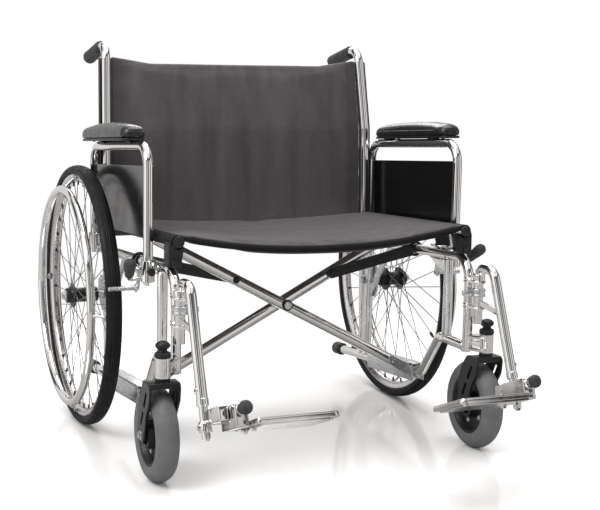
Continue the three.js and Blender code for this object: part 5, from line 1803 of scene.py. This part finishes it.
def build_floor():
    """A white disc with a faint gloss that fades into the white surround before its edge. Glossy rays see it grey, a
    painted shade in the reflections of mirror-like surfaces.
    """
    mesh = bpy.data.meshes.new("floor")
    rim = [(FLOOR_R * math.cos(a), FLOOR_R * math.sin(a), 0) for a in
           [2 * math.pi * k / 96 for k in range(96)]]
    mesh.from_pydata(rim, [], [tuple(range(96))])
    look = Surface("floor", (0.9, 0.9, 0.9), 0.6, 0.0, Specular_IOR_Level=0.0)
    path = look.node("ShaderNodeLightPath")
    # Painted shade in reflections: glossy rays see the floor at 0.36 instead of 0.98.
    seen = look.maths("SUBTRACT", 1.0, look.maths("MULTIPLY", path.outputs["Is Glossy Ray"], 1.0))
    look.tint(seen, (0.36, 0.355, 0.35), (0.98, 0.975, 0.97))
    distance = look.node("ShaderNodeVectorMath", operation="LENGTH")
    look.wire(look.node("ShaderNodeNewGeometry").outputs["Position"], distance.inputs[0])
    gloss = look.node("ShaderNodeBsdfGlossy")
    gloss.inputs["Roughness"].default_value = 0.09
    mirror = look.node("ShaderNodeMixShader")
    mirror.inputs["Fac"].default_value = 0.26
    look.wire(look.shader.outputs[0], mirror.inputs[1])
    look.wire(gloss.outputs[0], mirror.inputs[2])
    white = look.node("ShaderNodeEmission")
    white.inputs["Color"].default_value = (1, 1, 1, 1)
    fade = look.node("ShaderNodeMixShader")
    edge = look.mapped(distance.outputs["Value"], 0, 1, *FLOOR_FADE)
    look.wire(look.maths("MULTIPLY", edge, path.outputs["Is Camera Ray"]), fade.inputs["Fac"])
    look.wire(mirror.outputs[0], fade.inputs[1])
    look.wire(white.outputs[0], fade.inputs[2])
    look.wire(fade.outputs[0], look.tree.nodes["Material Output"].inputs["Surface"])
    mesh.materials.append(look.material)
    floor = bpy.data.objects.new("floor", mesh)
    bpy.context.scene.collection.objects.link(floor)


# What mirror-like surfaces see round the chair: (from azimuth, to azimuth, brightness) in degrees from +X.
SURROUND = ((-180, -152, 1.05), (-152, -137, 0.05), (-137, -119, 0.72), (-119, -102, 0.05), (-102, -86, 0.35),
            (-86, -62, 0.74), (-62, -45, 0.05), (-45, -12, 0.90), (-12, 9, 0.06), (9, 28, 0.45), (28, 124, 0.78),
            (124, 146, 0.05), (146, 180, 1.05))


def build_world():
    """Plain white to the eye, brighter from above to matt surfaces, and banded to mirror-like ones."""
    world = bpy.data.worlds.new("studio")
    bpy.context.scene.world = world
    world.use_nodes = True
    tree = world.node_tree
    tree.nodes.clear()

    def node(kind, **settings):
        made = tree.nodes.new(kind)
        for key, value in settings.items():
            setattr(made, key, value)
        return made

    def maths(operation, first, second=0.0):
        made = node("ShaderNodeMath", operation=operation)
        for socket, value in zip(made.inputs, (first, second)):
            if isinstance(value, (int, float)):
                socket.default_value = value
            else:
                tree.links.new(value, socket)
        return made.outputs["Value"]

    def ramp(value, stops):
        made = node("ShaderNodeValToRGB")
        stops = list(stops)
        while len(made.color_ramp.elements) < len(stops):
            made.color_ramp.elements.new(0.5)
        for element, (place, level) in zip(made.color_ramp.elements, stops):
            element.position = place
            element.color = (level, level, level, 1)
        tree.links.new(value, made.inputs["Fac"])
        return made.outputs["Color"]

    def background(strength):
        made = node("ShaderNodeBackground")
        made.inputs["Color"].default_value = (1.0, 0.985, 0.97, 1)
        tree.links.new(strength, made.inputs["Strength"])
        return made.outputs[0]

    def mix(factor, first, second):
        made = node("ShaderNodeMixShader")
        for socket, source in zip(made.inputs, (factor, first, second)):
            tree.links.new(source, socket)
        return made.outputs[0]

    split = node("ShaderNodeSeparateXYZ")
    tree.links.new(node("ShaderNodeTexCoord").outputs["Generated"], split.inputs["Vector"])
    turn = maths("ADD", maths("DIVIDE", maths("ARCTAN2", split.outputs["Y"], split.outputs["X"]), 2 * math.pi), 0.5)
    blur = 0.006
    stops = []
    for low, high, level in SURROUND:
        stops += [(max(0, (low + 180) / 360 + blur), level), (min(1, (high + 180) / 360 - blur), level)]
    level = ramp(turn, stops)
    height = maths("ADD", maths("MULTIPLY", split.outputs["Z"], 0.5), 0.5)
    roof = ramp(height, ((0, 0), (0.76, 0), (0.79, 1)))
    above = ramp(height, ((0, 0.7), (0.77, 0.10), (0.84, 0.12), (0.87, 0.95), (0.96, 0.95), (0.98, 0.35)))
    mirrored = maths("ADD", maths("MULTIPLY", level, maths("SUBTRACT", 1.0, roof)), maths("MULTIPLY", above, roof))
    soft_light = maths("MULTIPLY", ramp(height, ((0, 0.55), (0.5, 0.62), (0.8, 1.0), (1, 1.25))), 1.0)
    path = node("ShaderNodeLightPath")
    white = node("ShaderNodeBackground").outputs[0]
    white.node.inputs["Color"].default_value = (1, 1, 1, 1)
    lit = mix(path.outputs["Is Glossy Ray"], background(soft_light), background(mirrored))
    seen = mix(path.outputs["Is Camera Ray"], lit, white)
    tree.links.new(seen, node("ShaderNodeOutputWorld").inputs["Surface"])


def build_lights():
    middle = (CAD_BOX[0] + CAD_BOX[1]) / 2
    for name, place, size, power in (("key", (-2.4, -0.9, 2.8), 1.8, 70), ("roof", (0.3, 0.3, 3.2), 2.4, 60),
                                     ("rim", (0.9, 2.8, 2.4), 1.8, 34)):
        lamp = bpy.data.lights.new(name, "AREA")
        lamp.shape = "DISK"
        lamp.size = size
        lamp.energy = power
        holder = bpy.data.objects.new(name, lamp)
        holder.location = place
        holder.rotation_euler = (middle - Vector(place)).to_track_quat("-Z", "Y").to_euler()
        bpy.context.scene.collection.objects.link(holder)


def main():
    build_side_frames()
    build_rear_wheels()
    build_casters()
    build_folding()
    build_arms()
    build_front_rigging()
    build_brakes()
    build_seat()
    build_back()
    build_world()
    build_floor()
    build_lights()
    build_camera()
    bpy.context.scene.view_settings.view_transform = "Standard"


main()
